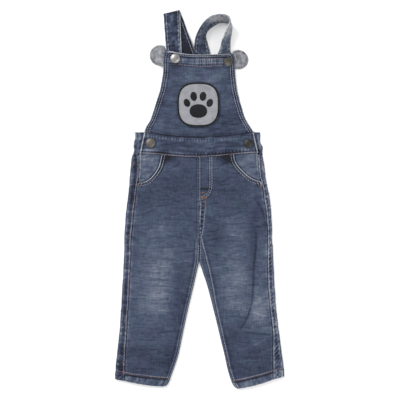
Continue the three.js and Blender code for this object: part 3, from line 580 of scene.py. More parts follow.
def ripple_along(run, seed):
    """The same noise along a line."""
    return ripple(run, np.full(np.shape(run), 0.5), seed)


def creases(rows, x, y):
    """Soft troughs and ridges, each tapering off at its two ends."""
    height = np.zeros(np.broadcast(x, y).shape)
    for x1, y1, x2, y2, bow, half_width, tall in zip(*rows.values()):
        length = math.hypot(x2 - x1, y2 - y1)
        along = ((x - x1) * (x2 - x1) + (y - y1) * (y2 - y1)) / length**2
        taper = np.sin(np.pi * np.clip(along, 0, 1))
        across = ((x - x1) * (y2 - y1) - (y - y1) * (x2 - x1)) / length - bow * taper
        height += tall * np.sqrt(taper) * np.exp(-FOLD_ROUND_TOP * (across / half_width) ** 2)
    return height


# Height of the cloth

def edge_x(rows, x_name, y_name, y):
    return np.interp(-y, -rows[y_name], rows[x_name])


def edge_of(rows, name):
    """The points along one edge of a table's sections."""
    return np.stack([rows[name + "X"], rows[name + "Y"]], -1)


def spread(ends, share):
    """x and y of cloth between the two ends of each of its sections."""
    return mix(ends[:, 0:1], ends[:, 2:3], share), mix(ends[:, 1:2], ends[:, 3:4], share)


def side_of(leg):
    return np.sign(leg["outerX"][0])


def puff_away(distance):
    return 1 - np.exp(-np.maximum(0, distance - EDGE_INSET) / PUFF_REACH)


def streaks(x, y, seed):
    """Short level lines, as stretch denim has where it has creased as it was worn, from 0 to 1."""
    long = ripple(x / 21, y / 2.3, seed)
    short = ripple(x / 10, y / 1.6, seed + 1)
    return smooth(0.45, 0.92, long) + 0.7 * smooth(0.5, 0.92, short)


def crinkle(x, y):
    """Height of the fine crosswise crinkles."""
    broad = 0.5 * ripple(x / 34, y / 15, 3) + 0.4 * ripple(x / 15, y / 7, 6)
    return scene_sizes().crinkle_height / MM * (broad + streaks(x, y, 11) - streaks(x, y, 15))


def top_mid(x, y):
    """Middle of the upper layer of the legs."""
    height = np.zeros(np.broadcast(x, y).shape)
    for leg, here in ((LEG_LEFT, x < CENTRE_LEFT), (LEG_RIGHT, x >= CENTRE_LEFT)):
        outer = np.abs(x - edge_x(leg, "outerX", "outerY", y))
        inner = np.abs(x - edge_x(leg, "innerX", "innerY", y)) + 2 * np.maximum(0, y - CROTCH_Y)
        puff = puff_away(outer) * puff_away(inner)
        height = np.where(here, puff, height)
    fine = scene_sizes().crease_height * creases(CREASES, x, y) + crinkle(x, y)
    return FLOOR_MID + EDGE_RISE + height * (PUFF + creases(FOLDS, x, y) + fine)


def band_seam_y(seam, x):
    along = np.clip((x - seam["leftX"]) / (seam["rightX"] - seam["leftX"]), 0, 1)
    return mix(seam["leftY"], seam["rightY"], along) - seam["dip"] * bow(along) ** seam["power"]


def bib_mid(x, y):
    """Middle of the bib's cloth, which the standing strap lifts at its upper right corner."""
    left = np.interp(y, BIB["leftY"], BIB["leftX"])
    right = np.interp(y, BIB["rightY"], BIB["rightX"])
    side = np.abs(2 * (x - left) / (right - left) - 1)
    free = smooth(*BIB_FREE_Y, y) * (1 - smooth(*BIB_HELD_Y, y))
    fallen = BIB_SIDE_DROP * free * smooth(BIB_FREE_FROM, 1, side)
    join = mix(WAISTBAND_MID - BIB_MID, 0, smooth(*BIB_JOIN_Y, y))
    ramp_share = (y - BIB_RIDGE["startY"]) / (BIB_RIDGE["endY"] - BIB_RIDGE["startY"])
    rising = smooth(BIB_RIDGE["startX"], BIB_RIDGE["crestX"], x)
    beyond = BIB_RIDGE["endX"] - BIB_RIDGE["crestX"]
    falling = np.clip((BIB_RIDGE["endX"] - x) / beyond, 0, 1)
    ridge = BIB_RIDGE["height"] * np.clip(ramp_share, 0, BIB_RIDGE_PAST) * np.minimum(rising, falling)
    corner = np.maximum(0, x - BIB_RIDGE["crestX"]) / beyond * smooth(*BIB_CORNER_DROP_Y, y)
    return BIB_MID + join - fallen + ridge - BIB_CORNER_DROP * corner


def bib_detail(x, y):
    under_patch = smooth(0.9, 1.15, patch_share(x, y))
    fine = 0.16 * ripple(x / 16, y / 4.2, 11) + 0.1 * ripple(x / 7, y / 2.4, 12)
    return under_patch * (creases(BIB_CREASES, x, y) + fine)


def leg_wear_and_shading(x, y):
    """How worn the denim of the legs is, from 0, dark, to 1, nearly white, with painted shade in the troughs of
    its folds and creases and painted light on their ridges.
    """
    wear_and_shading = DENIM_WEAR - 0.05 * smooth(-230, -290, y) + 0.05 * ripple(x / 26, y / 20, 21) + faded(FADES, x, y)
    # Painted shade and light: darker in the troughs of the folds and creases, lighter on their ridges.
    wear_and_shading += 0.05 * creases(FOLDS, x, y) + 0.30 * creases(CREASES, x, y)
    worn = 0.6 + 0.9 * np.clip(wear_and_shading - DENIM_WEAR, 0, 0.3)
    wear_and_shading += worn * (0.08 * streaks(x, y, 11) - 0.115 * streaks(x, y, 15))
    bent = y + 1.8 * ripple(x / 13, y / 24, 28)
    fine_lines = smooth(0.50, 0.80, ripple(x / 15, bent / 2.1, 27))
    return wear_and_shading + 0.05 * ripple(x / 5, y / 2.2, 23) - 0.13 * worn * fine_lines


def back_wear(x, y):
    """How worn the denim is on the back of the legs, which is lighter at the seat."""
    seat = 0.10 * hump(np.abs(x) - 62, 36) * hump(y - 6, 54)
    creased = 0.08 * streaks(x, y, 12) - 0.11 * streaks(x, y, 16)
    return DENIM_WEAR - 0.04 + seat + creased + 0.06 * ripple(x / 26, y / 20, 22)


SEWN_PITCH = 4.6


def cells(along, pitch):
    """Puckers between stitches: 0 to 1 once every pitch, along a seam."""
    return 0.5 + 0.5 * np.sin(2 * np.pi * along / pitch)


def rows_of_stitches(distance, along, inner, outer):
    """Wear beside two rows of stitches: light threads, dark puckers between them."""
    puckers = hump(distance - (inner + outer) / 2, (outer - inner) / 3.2)
    puckers = puckers * (0.55 + 0.75 * cells(along, SEWN_PITCH))
    threads = bands(distance, (0.16, inner, 0.9), (0.16, outer, 0.9), (-0.12, outer + 2.0, 1.1))
    return threads - 0.20 * puckers


# Meshes

def new_object(name, mesh, material):
    thing = bpy.data.objects.new(name, mesh)
    bpy.context.scene.collection.objects.link(thing)
    mesh.materials.clear()
    mesh.materials.append(material)
    return thing


def finish_piece(thing, slot, *nodes):
    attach(thing, BODY)
    if nodes:
        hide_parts(*nodes)
    return thing


def to_metres(points):
    return (points + PLACE) * MM


def closed_mesh(name, points, quads, uv, wear_and_shading):
    """A mesh of four-sided faces that point outwards, with a UV map in metres and an attribute of how worn the
    cloth is, which also holds its painted shade and painted light.
    """
    a, b, c, d = (points[quads[:, i]] for i in range(4))
    volume = np.einsum("ij,ij->", a, np.cross(b, c)) + np.einsum("ij,ij->", a, np.cross(c, d))
    if volume < 0:
        quads = quads[:, ::-1]
    mesh = bpy.data.meshes.new(name)
    mesh.from_pydata(to_metres(points).tolist(), [], quads.tolist())
    mesh.polygons.foreach_set("use_smooth", np.ones(len(quads), bool))
    layer = mesh.uv_layers.new(name="UVMap")
    layer.data.foreach_set("uv", (uv[quads.ravel()] * MM).astype(np.float32).ravel())
    mesh.attributes.new("wear_and_shading", "FLOAT", "POINT").data.foreach_set("value", wear_and_shading.astype(np.float32))
    mesh.validate()
    return mesh


def shell(name, outer, inner, uv, wear_and_shading, material):
    """A closed wall of cloth between an outer and an inner grid of points."""
    rows, columns = outer.shape[:2]
    count = rows * columns
    index = np.arange(count).reshape(rows, columns)

    def faces(a):
        return np.stack([a[:-1, :-1], a[:-1, 1:], a[1:, 1:], a[1:, :-1]], -1).reshape(-1, 4)

    rim = np.concatenate([index[0], index[1:, -1], index[-1, -2::-1], index[-2:0:-1, 0]])
    after = np.roll(rim, -1)
    walls = np.stack([after, rim, rim + count, after + count], -1)
    quads = np.concatenate([faces(index), faces(index + count)[:, ::-1], walls])
    points = np.concatenate([outer.reshape(-1, 3), inner.reshape(-1, 3)])
    both_uv = np.concatenate([uv.reshape(-1, 2)] * 2)
    both_wear = np.concatenate([wear_and_shading.ravel()] * 2)
    return new_object(name, closed_mesh(name, points, quads, both_uv, both_wear), material)


def raised(name, x, y, mid, below, above, wear_and_shading, cloth, uv=None):
    """A wall of denim that lies nearly level, and the grid of its middle."""
    uv = np.stack([x, y], -1) if uv is None else uv
    outer = np.stack([x, y, mid + above], -1)
    inner = np.stack([x, y, mid - below], -1)
    return shell(name, outer, inner, uv, wear_and_shading, denim(cloth)), np.stack([x, y, mid], -1)


def cloth_area(grid):
    """Flat area of a panel in square metres, from its middle surface."""
    a, b = grid[1:, 1:] - grid[:-1, :-1], grid[1:, :-1] - grid[:-1, 1:]
    return float(np.linalg.norm(np.cross(a, b), axis=-1).sum() / 2) * MM * MM


def lay_sheet(grid):
    """Works out a panel's own area, at most that of a rectangle of its width and length; nothing more is done
    with it.
    """
    across = np.linalg.norm(np.diff(grid, axis=1), axis=-1).sum(1).max() * MM
    along = np.linalg.norm(np.diff(grid, axis=0), axis=-1).sum(0).max() * MM
    area = min(cloth_area(grid), across * along)


def pucker(along, pitch, seed):
    """Uneven gathers that sewing leaves beside a seam."""
    return ripple_along(along / pitch, seed) + 0.5 * ripple_along(along / (pitch * 0.45), seed + 1)


# Legs

LEG_STEP = 1.3
SCALLOP = 0.5
STRIP_COUNT = 15
ARC_COUNT = 8
FLOOR_COUNT = 28
TAIL_COUNT = 7
FLAT_TAIL = 7
HEM_START = 1.2
HEM_SAG = 2.2
HEM_SAG_REACH = 34
HEM_CORNER = 2.4
HEM_ROPE_PITCH = 7.5
HEM_ROPE_LEAN = 0.9
CROTCH_TURN = 1.6
OUTSEAM_LEAN = 0.8
OUTSEAM_LEFT = {"pitch": 5.2, "wear_and_shading": 0.05}
OUTSEAM_RIGHT = {"pitch": 7.4, "wear_and_shading": 0.17}


def hem_corner(from_outline, from_hem):
    """How far the hem's inner corner is rounded up."""
    return HEM_CORNER * hump(from_outline, HEM_CORNER) * smooth(3 * HEM_CORNER, 0, from_hem)


def leg_back(name, leg, seed):
    """A back panel: from the outseam on the front round the outer edge, over the floor and up again."""
    lengths = run_lengths(edge_of(leg, "outer"), edge_of(leg, "inner"))
    at = stations(lengths[-1], LEG_STEP)
    values = curve_through(np.stack([leg[column] for column in LEG_COLUMNS], -1), lengths, at)
    start, end = values[:, 0:2], values[:, 2:4]
    along_seam = run_lengths(start)
    direction = (end - start) / np.linalg.norm(end - start, axis=1)[:, None]
    start = start + direction * (SCALLOP * pucker(along_seam, 9, seed))[:, None]
    length = np.linalg.norm(end - start, axis=1)[:, None]
    outseam, inseam = values[:, 4:5], np.maximum(values[:, 5:6], 0)
    turned = smooth(lengths[CROTCH_ROW] - CROTCH_TURN, lengths[CROTCH_ROW], at)[:, None]
    hem = smooth(lengths[HEM_ROW], lengths[HEM_ROW] + HEM_START, at)[:, None]

    strip = np.linspace(0, 1, STRIP_COUNT)[None]
    floor = np.linspace(0, 1, FLOOR_COUNT)[None]
    tail = np.linspace(0, 1, TAIL_COUNT)[None]
    angle = (np.pi * np.arange(1, ARC_COUNT + 1) / (ARC_COUNT + 1))[None]
    arc_x, arc_z = np.sin(angle), np.cos(angle)
    back_x, back_z = arc_x[:, ::-1], arc_z[:, ::-1]
    one = np.ones_like(length)
    flat_end = length - mix(FLAT_TAIL, EDGE_INSET, turned)
    flat_count = ARC_COUNT + TAIL_COUNT
    flat_tail = mix(flat_end, length, np.linspace(1 / flat_count, 1, flat_count)[None])
    turned_tail = np.concatenate([
        length - EDGE_INSET + back_x * EDGE_RADIUS,
        mix(length - EDGE_INSET, length - inseam, tail),
    ], 1)
    along = np.concatenate([
        mix(outseam, EDGE_INSET * one, strip),
        EDGE_INSET - arc_x * EDGE_RADIUS * one,
        mix(EDGE_INSET * one, flat_end, floor),
        mix(flat_tail, turned_tail, turned),
    ], 1)
    normal_x = np.concatenate([
        one * np.zeros_like(strip),
        -arc_x * one,
        one * np.zeros_like(floor),
        np.concatenate([back_x, np.zeros_like(tail)], 1) * turned,
    ], 1)
    normal_z = np.concatenate([
        one * np.ones_like(strip),
        arc_z * one,
        -one * np.ones_like(floor),
        mix(-1, np.concatenate([back_z, np.ones_like(tail)], 1), turned),
    ], 1)
    norm = np.maximum(np.hypot(normal_x, normal_z), 1e-6)
    normal_x, normal_z = normal_x / norm, normal_z / norm

    from_top = at[:, None]
    from_hem = lengths[-1] - from_top
    plane = start[:, None, :] + direction[:, None, :] * along[..., None]
    plane[..., 1] += hem_corner(length - along, from_hem)
    x, y = plane[..., 0], plane[..., 1]
    section = np.arange(along.shape[1])[None]
    front_half = section < STRIP_COUNT + ARC_COUNT
    on_strip = (section < STRIP_COUNT) | ((section >= along.shape[1] - TAIL_COUNT) & (turned > 0.5))
    outer_side = on_strip * front_half
    from_outline = np.where(front_half, along, length - along)
    from_seam = np.where(front_half, outseam, np.maximum(inseam, 1)) - from_outline
    gathers = pucker(along_seam, 5.2, seed + 4)[:, None]
    puckered = gathers * hump(from_outline - 0.55 * outseam, 3.6) * outer_side
    ridge = on_strip * bands(from_seam, (0.45, 1.6, 1.6))
    level = FLOOR_MID + EDGE_RADIUS * (1 + normal_z)
    mid = np.where(on_strip, top_mid(x, y) + 0.45 * puckered + ridge, level)
    rope = 0.6 * cells(along + HEM_ROPE_LEAN * from_top, HEM_ROPE_PITCH) - 0.3
    rope += 0.5 * ripple(x / 4, y / 5, seed + 9)
    extra = (HEM_WALL - WALL) * hem
    height = (1 + normal_z) / 2
    above = WALL / 2 + extra * height + 0.4 * hem * rope * on_strip
    below = WALL / 2 + extra * (1 - height)
    thin = round_off(np.minimum(from_top, from_hem), 1.0)
    normal = np.concatenate([direction[:, None, :] * normal_x[..., None], normal_z[..., None]], -1)
    middle = np.stack([x, y, mid], -1)
    outer = middle + normal * (above * thin)[..., None]
    inner = middle - normal * (below * thin)[..., None]
    outer[..., 2] = np.maximum(outer[..., 2], 0)

    look = OUTSEAM_RIGHT if side_of(leg) > 0 else OUTSEAM_LEFT
    slant = OUTSEAM_LEAN * np.sign(direction[:, :1])
    slanting = cells(along_seam[:, None] + slant * from_outline, look["pitch"])
    patchy = np.clip(0.5 + 0.5 * pucker(along_seam, 14, seed + 6)[:, None], 0.3, 1)
    dark = hump(from_outline - 0.56 * outseam, 0.25 * outseam) * (0.12 + 1.25 * slanting * patchy)
    mottle = 0.16 * ripple(x / 2.6, y / 3.4, seed + 11)
    seam_wear = outer_side * (look["wear_and_shading"] + mottle + 0.18 * gathers - 0.56 * dark)
    seam_wear += bands(from_outline, (0.18, 1.6, 2.4))
    seam_wear += bands(from_seam, (0.24, 1.5, 1.0), (-0.10, 0, 0.6))
    strip_wear = np.where(front_half, seam_wear, bands(from_outline, (0.34, 1.6, 1.3)))
    strip_wear += hem * (0.36 * rope + 0.18)
    wear_and_shading = leg_wear_and_shading(x, y) + on_strip * strip_wear
    wear_and_shading = np.where(on_strip | front_half, wear_and_shading, back_wear(x, y))
    unrolled = np.where(front_half, along, 2 * EDGE_INSET + along)
    uv = np.stack([unrolled, np.broadcast_to(from_top, along.shape)], -1)
    return shell(name, outer, inner, uv, wear_and_shading, denim("denim_back_panel")), middle


def front_rows(leg, pocket, centre_x):
    """The ends of each section of a front panel, from waist seam to hem."""
    centre = np.full_like(pocket["innerY"], centre_x)
    upper = np.stack([pocket["outerX"], pocket["outerY"], centre, pocket["innerY"]], -1)
    below = {name: column[FIRST_FRONT_ROW:] for name, column in leg.items()}
    number = np.arange(FIRST_FRONT_ROW, len(leg["outerX"]))
    side = np.sign(below["innerX"] - below["outerX"])
    inseam = np.where(number >= CROTCH_ROW, below["inseam"] + SEAM_GAP, 0)
    slope = (below["innerY"] - below["outerY"]) / (below["innerX"] - below["outerX"])
    outseam = side * (below["outseam"] + SEAM_GAP)
    lower = np.stack([
        below["outerX"] + outseam,
        below["outerY"] + outseam * slope,
        below["innerX"] - side * inseam,
        below["innerY"] - side * inseam * slope,
    ], -1)
    return np.concatenate([upper, lower])


FRONT_WIDTH = 112
MOUTH_STITCHES = (1.6, 6.2)

# Middle of the row of puckers below the fly
CHAIN_PITCH = 8.3
CHAIN_HALF = 4.1
CROTCH_CHAIN = table(("y", "x"), [
    (6, 6.4),
    (-8.5, 6.1),
    (-16, 5.8),
    (-25, 4.7),
    (-39, 3.4),
    (-54, 1.6),
    (-61, 0.1),
    (-70, -1.9),
])


def leg_front(name, leg, pocket, centre_x, seed):
    """A front panel, cut away at the pocket's mouth and turned up at the hem."""
    rows = front_rows(leg, pocket, centre_x)
    lengths = run_lengths(rows[:, 0:2], rows[:, 2:4])
    at = stations(lengths[-1], LEG_STEP)
    ends = curve_through(rows, lengths, at)
    mouth_rows = len(pocket["outerX"])
    mouth_end = lengths[mouth_rows - 1]
    crotch = lengths[mouth_rows + CROTCH_ROW - FIRST_FRONT_ROW]
    ends[at < crotch - CROTCH_TURN, 2] = centre_x
    width = np.linalg.norm(ends[:, 2:4] - ends[:, 0:2], axis=1)[:, None]
    share = shares(FRONT_WIDTH, LEG_STEP)[None]
    x, y = spread(ends, share)
    from_top = at[:, None]
    from_hem = lengths[-1] - from_top
    y = mix(band_seam_y(BAND_BOTTOM, x) - SEAM_GAP, y, np.clip(from_top / lengths[1], 0, 1))
    from_outer, from_inner = share * width, (1 - share) * width
    in_mouth = 1 - smooth(mouth_end - 6, mouth_end + 2, from_top)
    at_seam = 1 - in_mouth
    below_crotch = smooth(CROTCH_Y + 4, CROTCH_Y - 4, y)
    above_crotch = 1 - below_crotch
    along_outer = run_lengths(ends[:, 0:2])[:, None]
    gathers = pucker(along_outer, 6, seed) * hump(from_outer, 8) * (1 - 0.6 * in_mouth)
    inner_gathers = pucker(from_top, 6.5, seed + 3) * hump(from_inner, 6)
    waist_gathers = pucker(x, 8, seed + 5) * hump(from_top, 9)
    tuck = at_seam * bands(from_outer, (0.7, 0, 1.2)) + bands(from_inner, (0.6, 0, 1.1))
    mouth_roll = bands(from_outer, (0.5, 1.2, 1.4), (-0.35, 4.4, 1.4), (0.25, 7.4, 1.4))
    mid = top_mid(x, y) + 0.28 * gathers + 0.2 * inner_gathers + 0.25 * waist_gathers - tuck
    mid += in_mouth * mouth_roll + above_crotch * bands(from_inner, (0.4, 2.6, 1.8))
    hem = smooth(lengths[-2], lengths[-2] + HEM_START, from_top)
    run = share * FRONT_WIDTH
    uneven = 3 * ripple(run / 20, np.zeros_like(run), seed)
    rope = 0.24 * cells(run + uneven + HEM_ROPE_LEAN * from_top, HEM_ROPE_PITCH) - 0.12
    rope += 0.4 * pucker(run + 0.6 * from_top, 8, seed + 8)
    rope += 0.5 * ripple(x / 3.6, y / 4.5, seed + 9)
    thin = round_off(np.minimum(from_top, from_hem), 1.0)
    thin = thin * round_off(np.minimum(from_outer, from_inner), 0.6)
    above = (WALL / 2 + hem * (HEM_WALL - WALL + 0.4 * rope)) * thin
    mouth_wear = bands(from_outer, (0.34, 1.2, 1.1), (-0.14, 8.8, 1.6))
    mouth_wear += 2.6 * rows_of_stitches(from_outer, along_outer, *MOUTH_STITCHES)
    chain = x - np.interp(-y, -CROTCH_CHAIN["y"], CROTCH_CHAIN["x"])
    link = cells(y + 2.2 * ripple_along(y / 6, seed + 30), CHAIN_PITCH)
    chain_wear = bands(np.abs(chain), (0.22, CHAIN_HALF, 1.1)) + hump(chain, 1.9) * (0.20 - 0.62 * link)
    chain_wear = chain_wear * smooth(2, -3, y) * above_crotch * (side_of(leg) > 0)
    wear_and_shading = (
        leg_wear_and_shading(x, y) + chain_wear + 0.14 * gathers + 0.08 * inner_gathers + 0.10 * waist_gathers
        + in_mouth * mouth_wear
        + at_seam * bands(from_outer, (-0.14, 0, 1.0), (0.12, 2.2, 1.2))
        + above_crotch * bands(from_inner, (0.20, 2.0, 1.0), (-0.12, 4.4, 1.4))
        + below_crotch * bands(from_inner, (0.26, 1.6, 1.3), (-0.12, 5.0, 2.0))
        + bands(from_top, (-0.12, 0, 5), (-0.26, 0.8, 1.6))
        + bands(from_hem, (0.26, 16.6, 1.0), (-0.60, 13.8, 1.8), (0.16, 0, 1.4))
        + hem * (0.17 + 0.30 * rope)
    )
    uv = np.stack([x, np.broadcast_to(from_top, x.shape)], -1)
    y = y - HEM_SAG * smooth(HEM_SAG_REACH, 0, from_hem) * bow(share)
    y += hem_corner(from_inner + leg["inseam"][-1], from_hem)
    return raised(name, x, y, mid, WALL / 2 * thin, above, wear_and_shading, "denim_front_panel", uv)


class DUNGAREES_OT_legs(bpy.types.Operator):
    """Makes the four leg panels, with their creases, seams and turned hems"""
    bl_idname = "dungarees.legs"
    bl_label = "Legs"

    def execute(self, context):
        for side, leg, pocket, centre, seed in (
            ("left", LEG_LEFT, POCKET_LEFT, CENTRE_LEFT, 31),
            ("right", LEG_RIGHT, POCKET_RIGHT, CENTRE_RIGHT, 61),
        ):
            back, grid = leg_back(f"back_leg_{side}", leg, seed)
            finish_piece(back, "denim", f"leg_back_{side}")
            lay_sheet(grid)
            front, grid = leg_front(f"front_leg_{side}", leg, pocket, centre, seed + 12)
            finish_piece(front, "denim", f"leg_front_{side}")
            lay_sheet(grid)
        return {"FINISHED"}


# Pockets

def mouth_distance(pocket, outward, x, y):
    """Distance from the edge of a pocket's mouth, above 0 on the side of the facing."""
    points = edge_of(pocket, "outer")
    nearest = np.full(x.shape, np.inf)
    for a, b in zip(points[:-1], points[1:]):
        run = b - a
        along = np.clip(((x - a[0]) * run[0] + (y - a[1]) * run[1]) / (run @ run), 0, 1)
        nearest = np.minimum(nearest, np.hypot(x - a[0] - along * run[0], y - a[1] - along * run[1]))
    inside = outward * (x - edge_x(pocket, "outerX", "outerY", y)) > 0
    return np.where(inside, nearest, -nearest)


FACING_WIDTH = 52


def pocket_facing(name, leg, pocket, facing):
    """The facing that shows in a pocket's mouth and goes on under the front panel."""
    outward = side_of(leg)
    side_y, inner_x, inner_y = (facing[column] for column in FACING_COLUMNS)
    edge = edge_x(leg, "outerX", "outerY", side_y) - outward * edge_x(leg, "outseam", "outerY", side_y)
    rows = np.stack([edge - outward * FACING_SIDE_GAP, side_y, inner_x, inner_y], -1)
    lengths = run_lengths(rows[:, 0:2], rows[:, 2:4])
    at = stations(lengths[-1], LEG_STEP)
    share = shares(FACING_WIDTH, LEG_STEP)[None]
    x, y = spread(curve_through(rows, lengths, at), share)
    from_top = at[:, None]
    y = mix(band_seam_y(BAND_BOTTOM, x) - SEAM_GAP, y, np.clip(from_top / lengths[1], 0, 1))
    distance = mouth_distance(pocket, outward, x, y)
    settle = smooth(*FACING_SETTLE, distance)
    side = share * FACING_WIDTH
    mid = top_mid(x, y) - FACING_DEPTH * (1 - settle) - bands(side, (0.8, 0, 1.4))
    half = WALL / 2 * round_off(np.minimum(from_top, lengths[-1] - from_top), 0.6)
    mottle = 0.11 * ripple(x / 8, y / 4, 71) + 0.03 * ripple(x / 3, y / 2, 72)
    wear_and_shading = (
        FACING_WEAR + mottle - 0.10 * streaks(x, y, 75) + 0.08 * streaks(x, y, 77)
        # Painted shadow: darker along the pocket's mouth, where the front panel's edge shades the facing, and
        # along the top of the facing, below the waistband.
        + bands(distance, (-0.36, 0, 1.9))
        + bands(from_top, (-0.20, 0, 3.5))
        + bands(side, (0.26, 1.6, 1.3), (-0.06, 5, 2))
    )
    return raised(name, x, y, mid, half, half, wear_and_shading, "denim_facing")


class DUNGAREES_OT_pockets(bpy.types.Operator):
    """Makes the two facings that show in the curved pocket mouths"""
    bl_idname = "dungarees.pockets"
    bl_label = "Pocket facings"

    def execute(self, context):
        for side, leg, pocket, facing in (
            ("left", LEG_LEFT, POCKET_LEFT, FACING_LEFT),
            ("right", LEG_RIGHT, POCKET_RIGHT, FACING_RIGHT),
        ):
            piece, grid = pocket_facing(f"facing_{side}", leg, pocket, facing)
            finish_piece(piece, "denim_light", f"pocket_facing_{side}")
            lay_sheet(grid)
        return {"FINISHED"}


# Mock fly

FLY_TURN = 0.97
FLY_ROWS = 56
FLY_BELOW = 0.3
FLY_STITCHES = (1.8, 5.4)


def mock_fly():
    """The fly's J, straight for half its rows and then bent round to the centre seam."""
    rows = np.linspace(0, 1, FLY_ROWS)[:, None]
    share = shares(FLY["width"], LEG_STEP)[None]
    turn = np.maximum(0, rows - 0.5) * np.pi * FLY_TURN
    straight = mix(FLY["topY"], FLY["bendY"], 2 * rows)
    y = np.where(rows <= 0.5, straight, mix(FLY["bendY"], FLY["endY"], np.sin(turn)))
    width = FLY["width"] * np.cos(turn)
    x = CENTRE_RIGHT + width * share
    y = mix(band_seam_y(BAND_BOTTOM, x) - 2 * SEAM_GAP, y, np.clip(rows * 10, 0, 1))
    edge, seam = (1 - share) * width, share * width
    mid = top_mid(x, y) + WALL / 2 + SEAM_GAP
    thin = round_off(np.minimum(np.minimum(edge, rows * 100), seam + 0.6), 1.0)
    wear_and_shading = (
        leg_wear_and_shading(x, y) + 0.03 + rows_of_stitches(edge, y, *FLY_STITCHES)
        + bands(edge, (0.12, 0, 0.9))
        + bands(seam, (-0.22, 0, 0.5), (0.30, 1.1, 0.8), (-0.10, 3.4, 1.4))
        + bands(rows * 80, (-0.12, 0, 5))
        + bands(y, (-0.42, 20.4, 1.5)) * (width > 10)
    )
    return raised("fly_front", x, y, mid, FLY_BELOW * thin, FLY_WALL * thin, wear_and_shading, "denim_front_panel")


class DUNGAREES_OT_fly(bpy.types.Operator):
    """Makes the mock fly, a curved piece laid on the right front"""
    bl_idname = "dungarees.fly"
    bl_label = "Mock fly"

    def execute(self, context):
        fly, grid = mock_fly()
        finish_piece(fly, "denim", "mock_fly")
        lay_sheet(grid)
        return {"FINISHED"}


# Waistbands

BAND_HEIGHT = 40
BAND_WIDTH = 212
BAND_STEP = 1.5
BACK_BAND_HEIGHT = 42
BACK_BAND_WIDTH = 238
BACK_BAND_STEP = 1.4


def waistband_front():
    """The front waistband, between its two curved seams."""
    rows = shares(BAND_HEIGHT, BAND_STEP)[:, None]
    share = shares(BAND_WIDTH, LEG_STEP)[None]
    left = mix(BAND_BOTTOM["leftX"], BAND_TOP["leftX"], rows)
    right = mix(BAND_BOTTOM["rightX"], BAND_TOP["rightX"], rows)
    x = mix(left, right, share)
    y = mix(band_seam_y(BAND_BOTTOM, x), band_seam_y(BAND_TOP, x), rows)
    from_end = np.minimum(share, 1 - share) * BAND_WIDTH
    low, high = rows * BAND_HEIGHT, (1 - rows) * BAND_HEIGHT
    ripples = 0.3 * ripple(x / 26, y / 7, 81) + 0.14 * ripple(x / 9, y / 3, 82)
    gathers = pucker(x, 6, 83) * (hump(low - 5, 4.5) + hump(high - 5, 4.5))
    mid = WAISTBAND_MID + ripples + 0.3 * gathers + bands(low, (0.3, 1.5, 1.2), (-0.3, 4.4, 1.2))
    half = HEM_WALL / 2 * round_off(np.minimum(from_end, np.minimum(low, high)), 1.2)
    slubs = 0.14 * ripple(x / 20, y / 3.4, 84) + 0.08 * ripple(x / 7, y / 2.2, 85)
    slubs += 0.10 * ripple(x / 40, y / 14, 86)
    corners = -0.46 * (hump(x + 66, 12) + hump(x - 52, 15)) * hump(low, 7)
    ends = 0.20 * hump(from_end - 13, 12) * hump(low - 7, 7)
    dashes = cells(x + 2.5 * ripple_along(x / 9, 87), 6.6) * smooth(-40, 10, x)
    low_seam = bands(low, (0.34, 0.9, 1.1)) - 0.34 * hump(low - 3.8, 1.5) * (0.4 + 0.9 * cells(x, 6.0))
    low_seam += hump(low - 6.8, 2.0) * (0.20 - 0.40 * dashes)
    puckered = cells(x + 2.5 * ripple_along(x / 9, 88), 5.4) - 0.15
    high_seam = bands(high, (-0.26, 0, 1.8)) + 0.20 * hump(high - 3.4, 1.1) * hump(x + 18, 62)
    high_seam += 0.36 * hump(high - 7.4, 2.8) * puckered * (1 - 0.5 * smooth(0, 50, x))
    side_seam = bands(from_end, (0.62, 0.9, 1.3), (-0.20, 3.9, 1.6))
    wear_and_shading = DENIM_WEAR - 0.06 + slubs + 0.10 * ripples + 0.10 * gathers
    wear_and_shading += corners + ends + low_seam + high_seam + side_seam
    return raised("band_front", x, y, mid, half, half, wear_and_shading, "denim_band")


def waistband_back():
    """The back waistband, gathered by its elastic, flat on the floor."""
    rows = shares(BACK_BAND_HEIGHT, BAND_STEP)[:, None]
    columns = np.stack([BACK_BAND["leftX"], BACK_BAND["rightX"], BACK_BAND["y"]], -1)
    lengths = BACK_BAND["y"] - BACK_BAND["y"][0]
    ends = curve_through(columns, lengths, rows[:, 0] * lengths[-1])
    share = shares(BACK_BAND_WIDTH, BACK_BAND_STEP)[None]
    x = mix(ends[:, 0:1], ends[:, 1:2], share)
    y = np.broadcast_to(ends[:, 2:3], x.shape)
    uneven = 0.8 * ripple(x / 20, y / 18, 91)
    waves = np.sin(2 * np.pi * share * BACK_BAND_WIDTH / GATHER_PITCH + uneven)
    fine = ripple(x / 2.6, y / 9, 92)
    from_end = np.minimum(share, 1 - share) * BACK_BAND_WIDTH
    from_seam = np.minimum(rows, 1 - rows) * lengths[-1]
    thin = round_off(np.minimum(from_end, from_seam), 1.1)
    half = BACK_BAND_WALL / 2
    above = (half + 0.45 * waves + 0.18 * fine) * thin
    mottle = 0.22 * ripple(x / 5, y / 4.5, 93) + 0.14 * ripple(x / 3, y / 9, 94)
    wear_and_shading = BACK_BAND_WEAR + 0.10 * waves + 0.08 * fine + mottle + 0.10 * cells(y, 9.2)
    wear_and_shading += bands(from_end, (0.22, 0.6, 1.2)) + bands(from_seam, (-0.12, 0, 1.6))
    return raised("band_back", x, y, np.full_like(x, half), half * thin, above, wear_and_shading, "denim_band")


class DUNGAREES_OT_waistbands(bpy.types.Operator):
    """Makes the front waistband and the gathered back waistband"""
    bl_idname = "dungarees.waistbands"
    bl_label = "Waistbands"

    def execute(self, context):
        back, grid = waistband_back()
        finish_piece(back, "denim", "waistband_back")
        lay_sheet(grid)
        front, grid = waistband_front()
        finish_piece(front, "denim", "waistband_front")
        lay_sheet(grid)
        return {"FINISHED"}


# Bib

